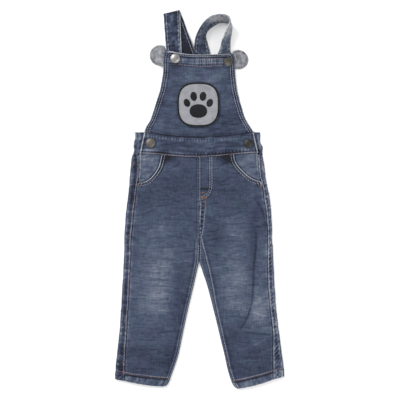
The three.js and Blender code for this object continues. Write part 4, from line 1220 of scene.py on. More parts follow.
BIB_WIDTH = 150
BIB_HEIGHT = 142
BIB_STEP = 1.1
BIB_CORNER = 11
BIB_STITCHES = (4.4, 8.6)
BIB_HEM_LINE = 21
# Lines along the bib's top: the light band on its rolled edge is edge wear brightened by a painted highlight,
# which makes up for the shade on its slope.
BIB_TOP_LINES = ((0.74, 2.0, 1.7), (-0.62, 5.3, 1.2), (0.22, 7.7, 1.0), (-0.52, 10.2, 1.2))


def bib():
    """The bib, thicker at its top hem and side hems."""
    rows = shares(BIB_HEIGHT, BIB_STEP)[:, None]
    keys = np.concatenate([edge_of(BIB, "left"), edge_of(BIB, "right")], 1)
    lengths = run_lengths(keys[:, 0:2], keys[:, 2:4])
    at = rows[:, 0] * lengths[-1]
    ends = curve_through(keys, lengths, at)
    number = np.interp(at, lengths, np.arange(len(lengths)))[:, None]
    share = shares(BIB_WIDTH, BIB_STEP)[None]
    x, level = spread(ends, share)
    dip = BIB_TOP_DIP * (number / (len(lengths) - 1)) ** 3 * bow(share)
    below = band_seam_y(BAND_TOP, x) + SEAM_GAP - mix(BIB["leftY"][0], BIB["rightY"][0], share)
    y = level - dip + below * (1 - np.clip(number / BIB_SQUARE_ROW, 0, 1))
    from_side = np.minimum(share, 1 - share) * (ends[:, 2:3] - ends[:, 0:1])
    from_top = (lengths[-1] - at)[:, None]
    top_hem = smooth(BIB_TOP_HEM_Y - 1.4, BIB_TOP_HEM_Y, level)
    side_hem = 1 - smooth(BIB_SIDE_HEM - 1, BIB_SIDE_HEM, from_side)
    into_corner = np.hypot(np.maximum(0, BIB_CORNER - from_side), np.maximum(0, BIB_CORNER - from_top))
    near_corner = (from_side < BIB_CORNER) & (from_top < BIB_CORNER)
    from_edge = np.minimum(from_side, from_top)
    from_edge = np.where(near_corner, np.maximum(0, BIB_CORNER - into_corner), from_edge)
    top_share = smooth(-4, 4, from_side - from_top)
    gathers = mix(pucker(y, 6.5, 101), pucker(x, 6.5, 102), top_share) * hump(from_edge - 7, 5)
    in_hem = top_hem * smooth(9, 12, from_top) * smooth(8, 14, from_side)
    pleats = 0.5 * ripple(x / 1.8, y / 26, 103) + 0.6 * cells(x + 0.8 * ripple(x / 6, y, 108), 4.0) - 0.2
    pleats = in_hem * pleats
    detail = bib_detail(x, y)
    mid = bib_mid(x, y) + detail + 0.3 * pleats + 0.2 * gathers
    thin = round_off(np.minimum(from_edge, number * 9 + 0.4), 1.1)
    rolled = bands(from_edge, (0.4, 1.8, 1.5), (-0.35, 5.6, 1.2))
    above = (mix(WALL, HEM_WALL, np.maximum(top_hem, side_hem)) - WALL / 2 + rolled) * thin
    blotches = smooth(-0.2, 0.7, ripple(x / 5, y / 5.5, 109))
    side_wear = bands(from_edge, (0.26, 0.9, 1.0), (-0.24, 2.7, 0.8)) - 0.16 * hump(from_edge - 6, 3.6) * blotches
    side_wear += 1.3 * rows_of_stitches(from_edge, y, *BIB_STITCHES)
    hem_wear = bands(from_top - BIB_HEM_LINE, (0.26, 0, 1.0), (-0.16, 2.2, 1.2), (0.10, -7, 5))
    soft = 0.07 * ripple(x / 26, y / 18, 104) + 0.07 * ripple(x / 15, y / 3.0, 105)
    # 0.20 * detail is painted shade and light: darker where the bib's creases and ripples sink, lighter where
    #                                           they rise.
    soft += 0.04 * ripple(x / 3, y / 2, 106) + 0.20 * detail
    soft = soft - 0.08 * streaks(x, y, 107) * smooth(10, 16, from_side)
    pleat_wear = 0.32 * pleats * (0.35 + hump(x - 12, 34)) + 0.02 * in_hem * hump(x - 12, 40)
    wear_and_shading = (
        BIB_WEAR + soft + pleat_wear + 0.07 * gathers + faded(BIB_FADES, x, y)
        + mix(side_wear, bands(from_edge, *BIB_TOP_LINES), top_share)
        + hem_wear * smooth(5, 9, from_side) * (from_top < 30)
        + bands(number, (-0.12, 0, 0.5)) + bands(y, (-0.05, 150, 20))
    )
    return raised("bib_front", x, y, mid, WALL / 2 * thin, above, wear_and_shading, "denim_bib")


class DUNGAREES_OT_bib(bpy.types.Operator):
    """Makes the bib, with its top hem and side hems"""
    bl_idname = "dungarees.bib"
    bl_label = "Bib"

    def execute(self, context):
        piece, grid = bib()
        finish_piece(piece, "denim", "bib")
        lay_sheet(grid)
        return {"FINISHED"}


# Patch with a satin-stitched edge and a paw print

PAW_TOES = (
    (-21, 3, 5.6, 7.6, 24),
    (-8.5, 15, 6.0, 8.4, 8),
    (8.5, 15, 6.0, 8.4, -8),
    (21, 3, 5.6, 7.6, -24),
)
PAW_PAD = {"x": 0, "y": -12, "half_width": 16, "half_height": 12.5, "squareness": 2.2}


def patch_edge(angle):
    """Distance from the patch's middle to its outline."""
    cos = np.abs(np.cos(angle)) / PATCH["half_width"]
    sin = np.abs(np.sin(angle)) / PATCH["half_height"]
    return (cos ** PATCH["squareness"] + sin ** PATCH["squareness"]) ** (-1 / PATCH["squareness"])


def patch_share(x, y):
    dx, dy = x - PATCH["x"], y - PATCH["y"]
    return np.hypot(dx, dy) / patch_edge(np.arctan2(dy, dx))


def round_piece(name, centre, radius, height, wall, worn, segments, rings, material):
    """A closed round of cloth: rings that shrink to a small opening, which a fan of faces closes."""
    share = np.concatenate([np.linspace(0, 0.96, rings), [0.985, 1.0]])[:, None]
    angle = np.linspace(0, 2 * np.pi, segments, endpoint=False)[None]
    reach = radius(angle, share)
    x, y = centre[0] + reach * np.cos(angle), centre[1] + reach * np.sin(angle)
    mid = height(x, y)
    half = wall / 2 * round_off((1 - share) * radius(angle, np.ones((1, 1))), wall / 2)
    ring_count = len(share) - 1
    side_count = 1 + ring_count * segments
    step = np.arange(segments)
    after = (step + 1) % segments
    pair = step[::2]
    points, quads = [], []
    for side, z in enumerate((mid + half, mid - half)):
        grid = np.stack([x, y, z], -1)
        points += [grid[0, 0][None], grid[1:].reshape(-1, 3)]
        base = side * side_count
        first = base + 1
        for ring in range(ring_count - 1):
            a, b = first + ring * segments + step, first + ring * segments + after
            c, d = b + segments, a + segments
            quads.append(np.stack([a, d, c, b] if side == 0 else [a, b, c, d], -1))
        second, third = first + (pair + 1) % segments, first + (pair + 2) % segments
        middle = np.stack([np.full(len(pair), base), first + pair, second, third], -1)
        quads.append(middle if side == 0 else middle[:, ::-1])
    rim, rim_after = (1 + (ring_count - 1) * segments + index for index in (step, after))
    quads.append(np.stack([rim, rim + side_count, rim_after + side_count, rim_after], -1))
    points = np.concatenate(points)
    uv, wear_and_shading = points[:, 0:2], worn(points[:, 0], points[:, 1])
    return new_object(name, closed_mesh(name, points, np.concatenate(quads), uv, wear_and_shading), material)


def patch_mid(x, y):
    return bib_mid(x, y) + WALL / 2 + REST_GAP + PATCH_WALL / 2


def patch_cloth():
    def height(x, y):
        share = patch_share(x, y)
        soft = 0.12 * ripple(x / 9, y / 7, 111)
        return patch_mid(x, y) + soft * (1 - share) + 0.25 * hump(share - 0.8, 0.12)

    def radius(angle, ring):
        return patch_edge(angle) * ring

    def worn(x, y):
        return 0.5 + 0.1 * ripple(x / 8, y / 6, 112)

    cloth = jersey("jersey_patch", scene_colours().patch)
    centre = (PATCH["x"], PATCH["y"])
    return round_piece("patch_cloth", centre, radius, height, PATCH_WALL, worn, 160, 34, cloth)


SATIN = {"pitch": 0.42, "length": PATCH["border"] + 0.6, "width": 0.5, "height": 1.1, "turn": 90}
SATIN_LIFT = 0.35
PAW_THREAD = 0.34
PAW_PITCH = 0.52
OUTLINE_COUNT = 400


class DUNGAREES_OT_patch(bpy.types.Operator):
    """Makes the jersey patch, its satin-stitched edge and the stitched paw print on it"""
    bl_idname = "dungarees.patch"
    bl_label = "Patch"

    def execute(self, context):
        cloth = patch_cloth()
        finish_piece(cloth, "jersey", "applique_patch")
        angle = np.linspace(0, 2 * np.pi, OUTLINE_COUNT, endpoint=False)
        area = float(0.5 * (patch_edge(angle) ** 2).sum() * 2 * np.pi / OUTLINE_COUNT) * MM * MM
        satin = satin_material()
        angle = np.linspace(0, 2 * np.pi, 361)
        reach = patch_edge(angle) - PATCH["border"] / 2
        x, y = PATCH["x"] + reach * np.cos(angle), PATCH["y"] + reach * np.sin(angle)
        line = np.column_stack([x, y, patch_mid(x, y) + PATCH_WALL / 2 + SATIN_LIFT])
        finish_piece(stitches("patch_border", [line], satin, **SATIN), "jersey")
        finish_piece(filled_threads("paw_print", paw_lines(), satin, PAW_THREAD), "jersey")
        return {"FINISHED"}


def paw_lines():
    """Threads laid side by side across each pad of the paw."""
    lines = []

    def lay(half_width, half_length, tilt, x, y):
        cos, sin = math.cos(math.radians(tilt)), math.sin(math.radians(tilt))
        for offset in np.arange(-half_width + 0.3, half_width - 0.29, PAW_PITCH):
            half = half_length(offset)
            if half < 0.6:
                continue
            across = np.linspace(-half, half, 7)
            px = PATCH["x"] + x + offset * cos - across * sin
            py = PATCH["y"] + y + offset * sin + across * cos
            crown = 0.75 * np.sqrt(np.maximum(0, 1 - (across / half) ** 2)) + 0.1
            lines.append(np.column_stack([px, py, patch_mid(px, py) + PATCH_WALL / 2 + crown - 0.2]))

    def rounded(half_width, half_height, squareness):
        def half_length(offset):
            share = abs(offset / half_width)
            return half_height * max(0, 1 - share ** squareness) ** (1 / squareness)

        return half_length

    for x, y, half_width, half_height, tilt in PAW_TOES:
        lay(half_width, rounded(half_width, half_height, 2), tilt, x, y)
    pad = PAW_PAD
    outline = rounded(pad["half_width"], pad["half_height"], pad["squareness"])
    lay(pad["half_width"], outline, 0, pad["x"], pad["y"])
    return lines


# Round jersey tabs


def ear_tab(name, node, ear, seed):
    """A round tab of double jersey that slopes up to its root behind the bib."""
    inward = np.sign(ear["rootX"] - ear["x"])
    reach_to_root = abs(ear["rootX"] - ear["x"])

    def rim_share(x, y):
        return np.hypot(x - ear["x"], y - ear["y"]) / ear["radius"]

    def radius(angle, ring):
        to_root = inward * np.cos(angle)
        limit = np.where(to_root > 0.02, reach_to_root / np.maximum(to_root, 0.02), np.inf)
        return ring * np.minimum(ear["radius"], limit)

    def height(x, y):
        away = inward * (ear["rootX"] - x)
        root = bib_mid(np.full_like(y, ear["rootX"]), y) - WALL / 2 - REST_GAP - JERSEY_WALL / 2
        soft = 0.5 * ripple(x / 8, y / 6, seed) + 0.3 * ripple(x / 4, y / 4, seed + 1)
        settle = smooth(*EAR_SLOPE, away)
        rim = rim_share(x, y)
        rolled = 0.25 * hump(rim - 0.86, 0.06) * (rim < 1)
        return mix(root, JERSEY_WALL / 2, settle) + settle * (np.abs(soft) + rolled)

    def worn(x, y):
        rim = rim_share(x, y)
        run = np.arctan2(y - ear["y"], x - ear["x"]) * ear["radius"]
        mottle = 0.34 * ripple(x / 5, y / 7, seed) + 0.36 * ripple(x / 2.4, y / 3.6, seed + 2)
        seam = 0.1 * hump(rim - 1, 0.05) - 0.9 * hump(rim - 0.84, 0.05) * cells(run, 5.6)
        return 0.57 + mottle + seam

    cloth = jersey("jersey_tab", scene_colours().jersey)
    tab = round_piece(name, (ear["x"], ear["y"]), radius, height, JERSEY_WALL, worn, 96, 22, cloth)
    finish_piece(tab, "jersey", node)


class DUNGAREES_OT_tabs(bpy.types.Operator):
    """Makes the two round jersey tabs sewn behind the bib's upper corners"""
    bl_idname = "dungarees.tabs"
    bl_label = "Round tabs"

    def execute(self, context):
        ear_tab("tab_left", "ear_tab_left", EAR_LEFT, 121)
        ear_tab("tab_right", "ear_tab_right", EAR_RIGHT, 131)
        return {"FINISHED"}


# Straps

STRAP_WIDTH = 29
STRAP_STEP = 1.5
STRAP_STITCH = 4.4
STRAP_STITCH_LOW = 0.6
STRAP_PUCKER = 8.2


def strap_edges(rows):
    """The middle of a strap's cloth along its two long edges."""
    span = np.linalg.norm([rows["highX"] - rows["lowX"], rows["highY"] - rows["lowY"], rows["rise"]], axis=0)
    low_z = rows["lift"] + STRAP_REST + STRAP_WALL * mix(0.5, 0.05, rows["rise"] / span)
    low = np.stack([rows["lowX"], rows["lowY"], low_z], -1)
    high = np.stack([rows["highX"], rows["highY"], low_z + rows["rise"]], -1)
    return low, high


def strap_left_edges():
    """The same for the left strap, which goes up, folds flat at its top and comes down behind."""
    left = np.array([STRAP_FOLD["leftX"], STRAP_FOLD["leftY"], 0])
    right = np.array([STRAP_FOLD["rightX"], STRAP_FOLD["rightY"], 0])
    away = np.array([left[1] - right[1], right[0] - left[0], 0])
    away = away / np.linalg.norm(away)
    angle = np.pi * (0.5 - np.arange(9) / 8)
    reach = STRAP_FOLD_RADIUS * np.cos(angle) - STRAP_FOLD_RADIUS - STRAP_WALL / 2
    lift = STRAP_WALL / 2 + STRAP_FOLD_RADIUS * (1 + np.sin(angle))
    fold = [corner + away * reach[:, None] + UP * lift[:, None] for corner in (left, right)]
    front = strap_edges(STRAP_LEFT_FRONT)
    back = strap_edges(STRAP_LEFT_BACK)
    quarters = np.array([0.25, 0.5, 0.75])[:, None]
    between = [mix(edge[1], turn[0], quarters) for edge, turn in zip(front, fold)]
    return [np.concatenate([f, m, t, b]) for f, m, t, b in zip(front, between, fold, back)]


def strap_left_wear(along, across):
    front = 1 - smooth(95, 102, along)
    return 0.04 + 0.22 * front + 0.62 * front * hump(STRAP_WIDTH - 0.9 - across, 1.0)


def strap_right_wear_and_shading(along, across):
    # The loop's rise is lighter: partly wear, partly painted light that makes up for the shade on its steep
    # faces. shaded is a painted shadow on the inner side of the loop's top.
    rising, falling = smooth(50, 92, along), smooth(122, 158, along)
    shaded = hump(along - 132, 15) * hump(across - 6, 8)
    return 0.58 + 0.44 * rising * (1 - falling) - 0.13 * falling - 0.60 * shaded


def strap(name, low, high, seed, worn):
    """A strap as a ribbon with rounded edges. Its grid is returned too, for the sewing on it."""
    lengths = run_lengths(low, high)
    at = stations(lengths[-1], STRAP_STEP)
    floor_low, floor_high = low[:, 2].min(), high[:, 2].min()
    low, high = curve_through(low, lengths, at), curve_through(high, lengths, at)
    low[:, 2] = np.maximum(low[:, 2], floor_low)
    high[:, 2] = np.maximum(high[:, 2], floor_high)
    along, across = at[:, None], stations(STRAP_WIDTH, STRAP_STEP)[None]
    middle = mix(low[:, None], high[:, None], (across / STRAP_WIDTH)[..., None])
    normal = np.cross(high - low, np.gradient((low + high) / 2, axis=0))
    normal = (normal / np.linalg.norm(normal, axis=1)[:, None])[:, None]
    from_edge = np.minimum(across, STRAP_WIDTH - across)
    gathers = pucker(along, 5, seed) * hump(from_edge - STRAP_STITCH, 3)
    waves = 0.18 * ripple(along / 7, across / 8, seed + 2) + 0.08 * ripple(along / 3, across / 3, seed + 3)
    lying = 1 - np.clip((high[:, 2:] - low[:, 2:]) / STRAP_WIDTH, 0, 1)
    thin = round_off(np.minimum(from_edge, np.minimum(along, lengths[-1] - along)), 1.2)
    ridge = bands(from_edge, (0.22, 1.4, 1.2), (-0.2, STRAP_STITCH, 0.9))
    half = STRAP_WALL / 2 + 0.5 * ridge + 0.14 * gathers
    outer = middle + normal * ((half + 0.3 * waves) * thin)[..., None]
    inner = middle - normal * ((half - 0.3 * waves) * thin)[..., None]
    for grid in (outer, inner):
        grid[..., 2] = np.maximum(grid[..., 2], 0.02)
    mottle = 0.16 * ripple(along / 9, across / 7, seed + 4)
    mottle = mottle + 0.17 * ripple(along / 3.4, across / 2.6, seed + 5)
    # worn gives the strap's wear and, for the right strap, painted light and shade on its loop. The edges are
    # painted lighter where the strap lies flat and less where it stands: edge wear, with a painted highlight
    # where the edge faces up.
    wear_and_shading = (
        worn(along, across) + mottle + 0.14 * gathers + lying * bands(from_edge, (0.34, 0.4, 0.9))
        + bands(from_edge, (-0.22, STRAP_STITCH, 2.6))
        + bands(from_edge, (0.75, STRAP_STITCH, 1.6)) * cells(along, STRAP_PUCKER) ** 2
    )
    uv = np.stack(np.broadcast_arrays(across, along), -1)
    thing = shell(name, outer, inner, uv, wear_and_shading, denim("denim_strap"))
    return thing, middle, normal, lengths[-1]


def strap_sewing(middle, normal):
    """Lines of stitches on both faces of a strap, along both of its edges."""
    lines = []
    for from_edge in (STRAP_STITCH, STRAP_WIDTH - STRAP_STITCH):
        column = np.argmin(np.abs(stations(STRAP_WIDTH, STRAP_STEP) - from_edge))
        for face in (1, -1):
            line = middle[:, column] + normal[:, 0] * face * (STRAP_WALL / 2 + 0.02)
            line[:, 2] = np.maximum(line[:, 2], STRAP_STITCH_LOW)
            lines.append(line)
    return lines


class DUNGAREES_OT_straps(bpy.types.Operator):
    """Makes the two shoulder straps and the rows of stitches along their edges"""
    bl_idname = "dungarees.straps"
    bl_label = "Straps"

    def execute(self, context):
        for side, edges, seed, worn, held, rests_on in (
            ("left", strap_left_edges(), 141, strap_left_wear, "folded", ["floor", "shoulder_strap_right"]),
            ("right", strap_edges(STRAP_RIGHT), 151, strap_right_wear_and_shading, "laid", ["floor", "band_back"]),
        ):
            thing, middle, normal, length = strap(f"shoulder_strap_{side}", *edges, seed, worn)
            finish_piece(thing, "denim_dark", f"strap_{side}")
            width, run = STRAP_WIDTH * MM, length * MM
            area = min(cloth_area(middle), width * run)
            shape = {**stitch_shape(), "pitch": STRAP_PUCKER / 2}
            sew(f"strap_stitches_{side}", "thread_pale", "denim_light", strap_sewing(middle, normal), shape)
        return {"FINISHED"}


# Stitches and threads by Geometry Nodes

UNEVENNESS = 0.05


def feed(tree, node, inputs):
    """Gives each of a node's inputs a constant, another node's output or, for a node, its first output."""
    for name, value in inputs.items():
        if isinstance(value, bpy.types.Node):
            value = value.outputs[0]
        if isinstance(value, bpy.types.NodeSocket):
            tree.links.new(value, node.inputs[name])
        else:
            node.inputs[name].default_value = value
    return node


def add(tree, kind, inputs, **settings):
    """A new node with its settings and inputs."""
    node = tree.nodes.new(kind)
    for name, value in settings.items():
        setattr(node, name, value)
    return feed(tree, node, inputs)


def new_tree(name, inputs):
    """A tree of geometry nodes with these inputs, and their sockets inside it."""
    tree = bpy.data.node_groups.new(name, "GeometryNodeTree")
    tree.interface.new_socket(name="Geometry", in_out="OUTPUT", socket_type="NodeSocketGeometry")
    for input_name, kind in inputs.items():
        tree.interface.new_socket(name=input_name, in_out="INPUT", socket_type="NodeSocket" + kind)
    return tree, add(tree, "NodeGroupInput", {}).outputs


def end_tree(tree, geometry, material):
    """Makes the result one smooth mesh of one material."""
    real = add(tree, "GeometryNodeRealizeInstances", {"Geometry": geometry})
    shade = add(tree, "GeometryNodeSetShadeSmooth", {"Geometry": real})
    paint = add(tree, "GeometryNodeSetMaterial", {"Geometry": shade, "Material": material})
    add(tree, "NodeGroupOutput", {"Geometry": paint})
    return tree


def stitch_tree():
    """Lays stitches at an even pitch along every line of the curve that goes in."""
    tree, given = new_tree("Stitches along lines", {
        "Lines": "Geometry", "Pitch": "Float", "Size": "Vector", "Turn": "Float", "Unevenness": "Float",
        "Thread": "Material",
    })
    points = add(tree, "GeometryNodeCurveToPoints", {"Curve": given["Lines"], "Length": given["Pitch"]},
                 mode="LENGTH")
    aim = add(tree, "FunctionNodeAlignRotationToVector", {"Vector": points.outputs["Tangent"]}, axis="X")
    level = add(tree, "FunctionNodeAlignRotationToVector", {"Vector": (0, 0, 1), "Rotation": aim},
                axis="Z", pivot_axis="X")
    least = add(tree, "ShaderNodeMath", {0: given["Unevenness"], 1: -1}, operation="MULTIPLY")
    uneven = add(tree, "FunctionNodeRandomValue", {"Seed": 7, 2: least, 3: given["Unevenness"]},
                 data_type="FLOAT")
    turn = add(tree, "ShaderNodeMath", {0: given["Turn"], 1: uneven.outputs[1]}, operation="ADD")
    spin = add(tree, "ShaderNodeCombineXYZ", {"Z": turn})
    spun = add(tree, "FunctionNodeRotateRotation", {"Rotation": level, "Rotate By": spin}, rotation_space="LOCAL")
    ball = add(tree, "GeometryNodeMeshUVSphere", {"Segments": 6, "Rings": 5, "Radius": 0.5})
    lying = add(tree, "GeometryNodeTransform", {"Geometry": ball, "Rotation": (0, math.pi / 2, 0)})
    place = add(tree, "GeometryNodeInstanceOnPoints", {
        "Points": points, "Instance": lying, "Rotation": spun, "Scale": given["Size"],
    })
    return end_tree(tree, place, given["Thread"])


def thread_tree():
    """Gives every line of the curve that goes in the thickness of a thread."""
    tree, given = new_tree("Threads along lines", {"Lines": "Geometry", "Radius": "Float", "Thread": "Material"})
    ring = add(tree, "GeometryNodeCurvePrimitiveCircle", {"Resolution": 6, "Radius": given["Radius"]})
    body = add(tree, "GeometryNodeCurveToMesh", {
        "Curve": given["Lines"], "Profile Curve": ring, "Fill Caps": True,
    })
    return end_tree(tree, body, given["Thread"])


def lines_object(name, lines):
    """A curve object with one straight-sided spline for each line of points."""
    curve = bpy.data.curves.new(name, "CURVE")
    curve.dimensions = "3D"
    for line in lines:
        spline = curve.splines.new("POLY")
        spline.points.add(len(line) - 1)
        points = np.column_stack([to_metres(np.asarray(line)), np.ones(len(line))])
        spline.points.foreach_set("co", points.astype(np.float32).ravel())
    thing = bpy.data.objects.new(name + "_lines", curve)
    bpy.context.scene.collection.objects.link(thing)
    return thing


def from_nodes(name, lines, tree, values):
    """Runs a node tree on lines and keeps its result as a plain mesh."""
    source = lines_object(name, lines)
    modifier = source.modifiers.new("Sewing", "NODES")
    modifier.node_group = tree
    for item in tree.interface.items_tree:
        if item.in_out == "INPUT" and item.name in values:
            modifier[item.identifier] = values[item.name]
    bpy.context.view_layer.update()
    ready = source.evaluated_get(bpy.context.evaluated_depsgraph_get())
    mesh = bpy.data.meshes.new_from_object(ready)
    source.modifiers.clear()
    bpy.data.objects.remove(source)
    return new_object(name, mesh, values["Thread"])


def stitches(name, lines, material, pitch, length, width, height, turn=0):
    tree = bpy.data.node_groups.get("Stitches along lines") or stitch_tree()
    return from_nodes(name, lines, tree, {
        "Pitch": pitch * MM, "Size": (length * MM, width * MM, height * MM), "Turn": math.radians(turn),
        "Unevenness": UNEVENNESS, "Thread": material,
    })


def filled_threads(name, lines, material, radius):
    return from_nodes(name, lines, thread_tree(), {"Radius": radius * MM, "Thread": material})


def stitch_shape():
    """The topstitching's pitch and thread, from the panel's settings."""
    sizes = scene_sizes()
    pitch, length, width = (value / MM for value in (sizes.stitch_pitch, sizes.stitch_length, sizes.thread_width))
    return {"pitch": pitch, "length": length, "width": width, "height": width}


def sew(name, thread_name, slot, lines, shape):
    """A finished piece of sewing, in the thread that has this name among the colours."""
    material = thread(thread_name, getattr(scene_colours(), thread_name))
    return finish_piece(stitches(name, lines, material, **shape), slot)


# Sewing on the cloth

def surface_below(names):
    """Reads the height of the topmost of the named pieces, in millimetres."""
    graph = bpy.context.evaluated_depsgraph_get()
    trees = [BVHTree.FromObject(bpy.data.objects[name], graph) for name in names]

    def height(points):
        found = []
        for x, y in points:
            start = Vector(((x + PLACE[0]) * MM, (y + PLACE[1]) * MM, 0.1))
            hits = [tree.ray_cast(start, Vector((0, 0, -1)))[0] for tree in trees]
            found.append(max([hit.z / MM for hit in hits if hit is not None], default=math.nan))
        return np.array(found)

    return height


def on_cloth(height, line, lift, step):
    """Puts a flat line of points on the cloth below it, and leaves out what misses the cloth."""
    line = np.asarray(line, float)
    lengths = run_lengths(line)
    at = np.linspace(0, lengths[-1], max(3, int(lengths[-1] / step)))
    if len(line) > 2:
        flat = curve_through(line, lengths, at)
    else:
        flat = np.column_stack([np.interp(at, lengths, line[:, i]) for i in range(2)])
    z = height(flat)
    keep = ~np.isnan(z)
    return np.column_stack([flat[keep], z[keep] + lift])


def beside(line, distance):
    """A line that runs beside another, to its left."""
    line = np.asarray(line, float)
    run = np.gradient(line, axis=0)
    run = run / np.linalg.norm(run, axis=1)[:, None]
    return line + distance * np.column_stack([-run[:, 1], run[:, 0]])


def leg_line(leg, name, inset, first, last):
    """A line along a leg's outseam or inseam, between two rows, that far in from its strip's edge."""
    outer, inner = edge_of(leg, "outer"), edge_of(leg, "inner")
    direction = (inner - outer) / np.linalg.norm(inner - outer, axis=1)[:, None]
    start, inward = (outer, 1) if name == "outseam" else (inner, -1)
    return (start + inward * direction * (leg[name] + inset)[:, None])[first:last]


class DUNGAREES_OT_sewing(bpy.types.Operator):
    """Makes the rows of stitches, the bartacks and the buttonholes on the cloth"""
    bl_idname = "dungarees.sewing"
    bl_label = "Sewing"

    def execute(self, context):
        height = surface_below([
            "front_leg_left", "front_leg_right", "back_leg_left", "back_leg_right", "fly_front",
            "facing_left", "facing_right", "band_front", "band_back", "bib_front",
            "shoulder_strap_left", "shoulder_strap_right",
        ])
        plain = stitch_shape()
        brown = {**plain, "pitch": BROWN_PITCH}
        brown_lines = (hem_line(LEG_LEFT, BROWN_ROW), hem_line(LEG_RIGHT, BROWN_ROW), BAND_TACK)
        for name, colour_name, slot, lines, lift, step, shape in (
            ("topstitch_pale", "thread_pale", "denim_light", pale_lines(), 0.08, 1.2, plain),
            ("topstitch_rose", "thread_rose", "denim_light", rose_lines(), 0.08, 1.2, plain),
            ("topstitch_brown", "thread_brown", "denim_dark", brown_lines, 0.05, 1.2, brown),
            ("bartacks", "thread_amber", "brass", BARTACKS, 0.1, 0.4, TACK_SHAPE),
            ("buttonholes", "thread_dark", "denim_dark", BUTTONHOLES, 0.05, 0.4, HOLE_SHAPE),
        ):
            laid = [on_cloth(height, line, lift, step) for line in lines]
            sew(name, colour_name, slot, laid, shape)
        return {"FINISHED"}


TACK_SHAPE = {"pitch": 0.45, "length": 2.4, "width": 0.55, "height": 0.9, "turn": 90}
HOLE_SHAPE = {"pitch": 0.5, "length": 2.6, "width": 0.55, "height": 0.9, "turn": 90}
ROSE_ROW = 16.6
BROWN_ROW = 14.2


BROWN_PITCH = 3.7
BAND_TACK = ((-99.0, 124.2), (-81.0, 121.6))
BARTACKS = (
    ((-121.6, 70.0), (-121.8, 65.0)),
    ((113.8, 70.0), (114.0, 65.0)),
    ((-113.4, 27.2), (-111.2, 31.6)),
    ((113.2, 20.8), (111.0, 26.8)),
    ((1.5, 6.6), (12.0, 5.0)),
    ((1.5, 4.2), (12.0, 2.6)),
    ((9.8, 1.2), (10.3, -12.4)),
    ((2.2, 13.8), (8.6, 13.2)),
    ((-12.2, 283.6), (-12.0, 278.2)),
)
BUTTONHOLES = (
    ((-54.5, 248.2), (-39.5, 247.6)),
)


def bib_top(inset, start, end):
    """A line that far below the bib's top edge, between two shares of its width."""
    share = np.linspace(start, end, 9)
    x = mix(BIB["leftX"][-1], BIB["rightX"][-1], share)
    y = mix(BIB["leftY"][-1], BIB["rightY"][-1], share) - BIB_TOP_DIP * bow(share) - inset
    return np.column_stack([x, y])


def bib_sides(inset, rows_left_out):
    """Two lines up the sides of the bib."""
    up = slice(0, len(BIB["leftX"]) - rows_left_out)
    return [edge_of(BIB, "left")[up] + (inset, 0), edge_of(BIB, "right")[up] - (inset, 0)]


def bib_line(inset_side, inset_top):
    """A line up one side of the bib, along its top and down the other side."""
    left, right = bib_sides(inset_side, 1)
    for side in (left, right):
        side[:, 1] -= inset_top * smooth(side[-1, 1] - 16, side[-1, 1], side[:, 1])
    return np.concatenate([left, bib_top(inset_top, 0.06, 0.94), right[::-1]])


def pocket_line(pocket, distance):
    return beside(edge_of(pocket, "outer"), distance)[:-1]


def hem_line(leg, above):
    """A line across a leg, that far above its lower edge, which sags in the middle."""
    start, end = edge_of(leg, "outer")[-1], edge_of(leg, "inner")[-1]
    run = (end - start) / np.linalg.norm(end - start)
    up = np.array([-run[1], run[0]])
    up = up if up[1] > 0 else -up
    share = np.linspace(0, 1, 9)[:, None]
    sag = HEM_SAG * smooth(HEM_SAG_REACH, 0, above) * bow(share)
    return mix(start + run * 1.5, end - run * 1.5, share) + up * above - sag * np.array([0, 1])


def band_line(seam, inset):
    x = np.linspace(seam["leftX"] + 2.5, seam["rightX"] - 2.5, 24)
    return np.column_stack([x, band_seam_y(seam, x) + inset])


def pale_lines():
    lines = [
        bib_line(BIB_STITCHES[0], 3.4), *bib_sides(BIB_STITCHES[1], 3),
        [(-11.6, 279.6), (-6.2, 273.6), (0.2, 268.8)],
    ]
    for pocket, side in ((POCKET_LEFT, 1), (POCKET_RIGHT, -1)):
        lines += [pocket_line(pocket, side * inset) for inset in MOUTH_STITCHES]
    beside_centre = CENTRE_RIGHT + 1.1
    lines += [
        leg_line(LEG_RIGHT, "outseam", -1.5, 0, HEM_ROW + 1),
        leg_line(LEG_LEFT, "inseam", -1.9, CROTCH_ROW + 1, HEM_ROW + 1),
        leg_line(LEG_RIGHT, "inseam", 1.4, CROTCH_ROW, HEM_ROW + 1),
        [(beside_centre, 78), (beside_centre, 40), (beside_centre, -6)],
        np.column_stack([CROTCH_CHAIN["x"][1:5] - CHAIN_HALF, CROTCH_CHAIN["y"][1:5]]),
        np.column_stack([CROTCH_CHAIN["x"][3:] + CHAIN_HALF, CROTCH_CHAIN["y"][3:]]),
    ]
    for inset in FLY_STITCHES:
        width = FLY["width"] - inset
        turn = np.linspace(0, np.pi / 2 * FLY_TURN, 9)
        bend = mix(FLY["bendY"], FLY["endY"] + inset, np.sin(turn))
        lines.append(np.concatenate([
            [[CENTRE_RIGHT + width, FLY["topY"] - 1], [CENTRE_RIGHT + width, 52]],
            np.column_stack([CENTRE_RIGHT + width * np.cos(turn), bend]),
        ]))
    return lines


def rose_lines():
    return [
        leg_line(LEG_LEFT, "outseam", -1.5, 1, HEM_ROW + 1),
        hem_line(LEG_LEFT, ROSE_ROW), hem_line(LEG_RIGHT, ROSE_ROW),
        band_line(BAND_BOTTOM, 1.6),
        bib_top(BIB_HEM_LINE, 0.2, 0.84), bib_top(8.2, 0.46, 0.86),
    ]


# Buttons

BUTTON_PROFILE = (
    (0, 0), (3.4, 0), (3.4, 0.9), (7.9, 0.9), (8.5, 1.02), (8.8, 1.4), (8.78, 1.75), (8.45, 2.1),
    (8.0, 2.26), (7.6, 2.2), (7.3, 2.12), (6.9, 2.24), (5.6, 2.78), (4.0, 3.2), (2.2, 3.42),
    (0.8, 3.49), (0, 3.5),
)


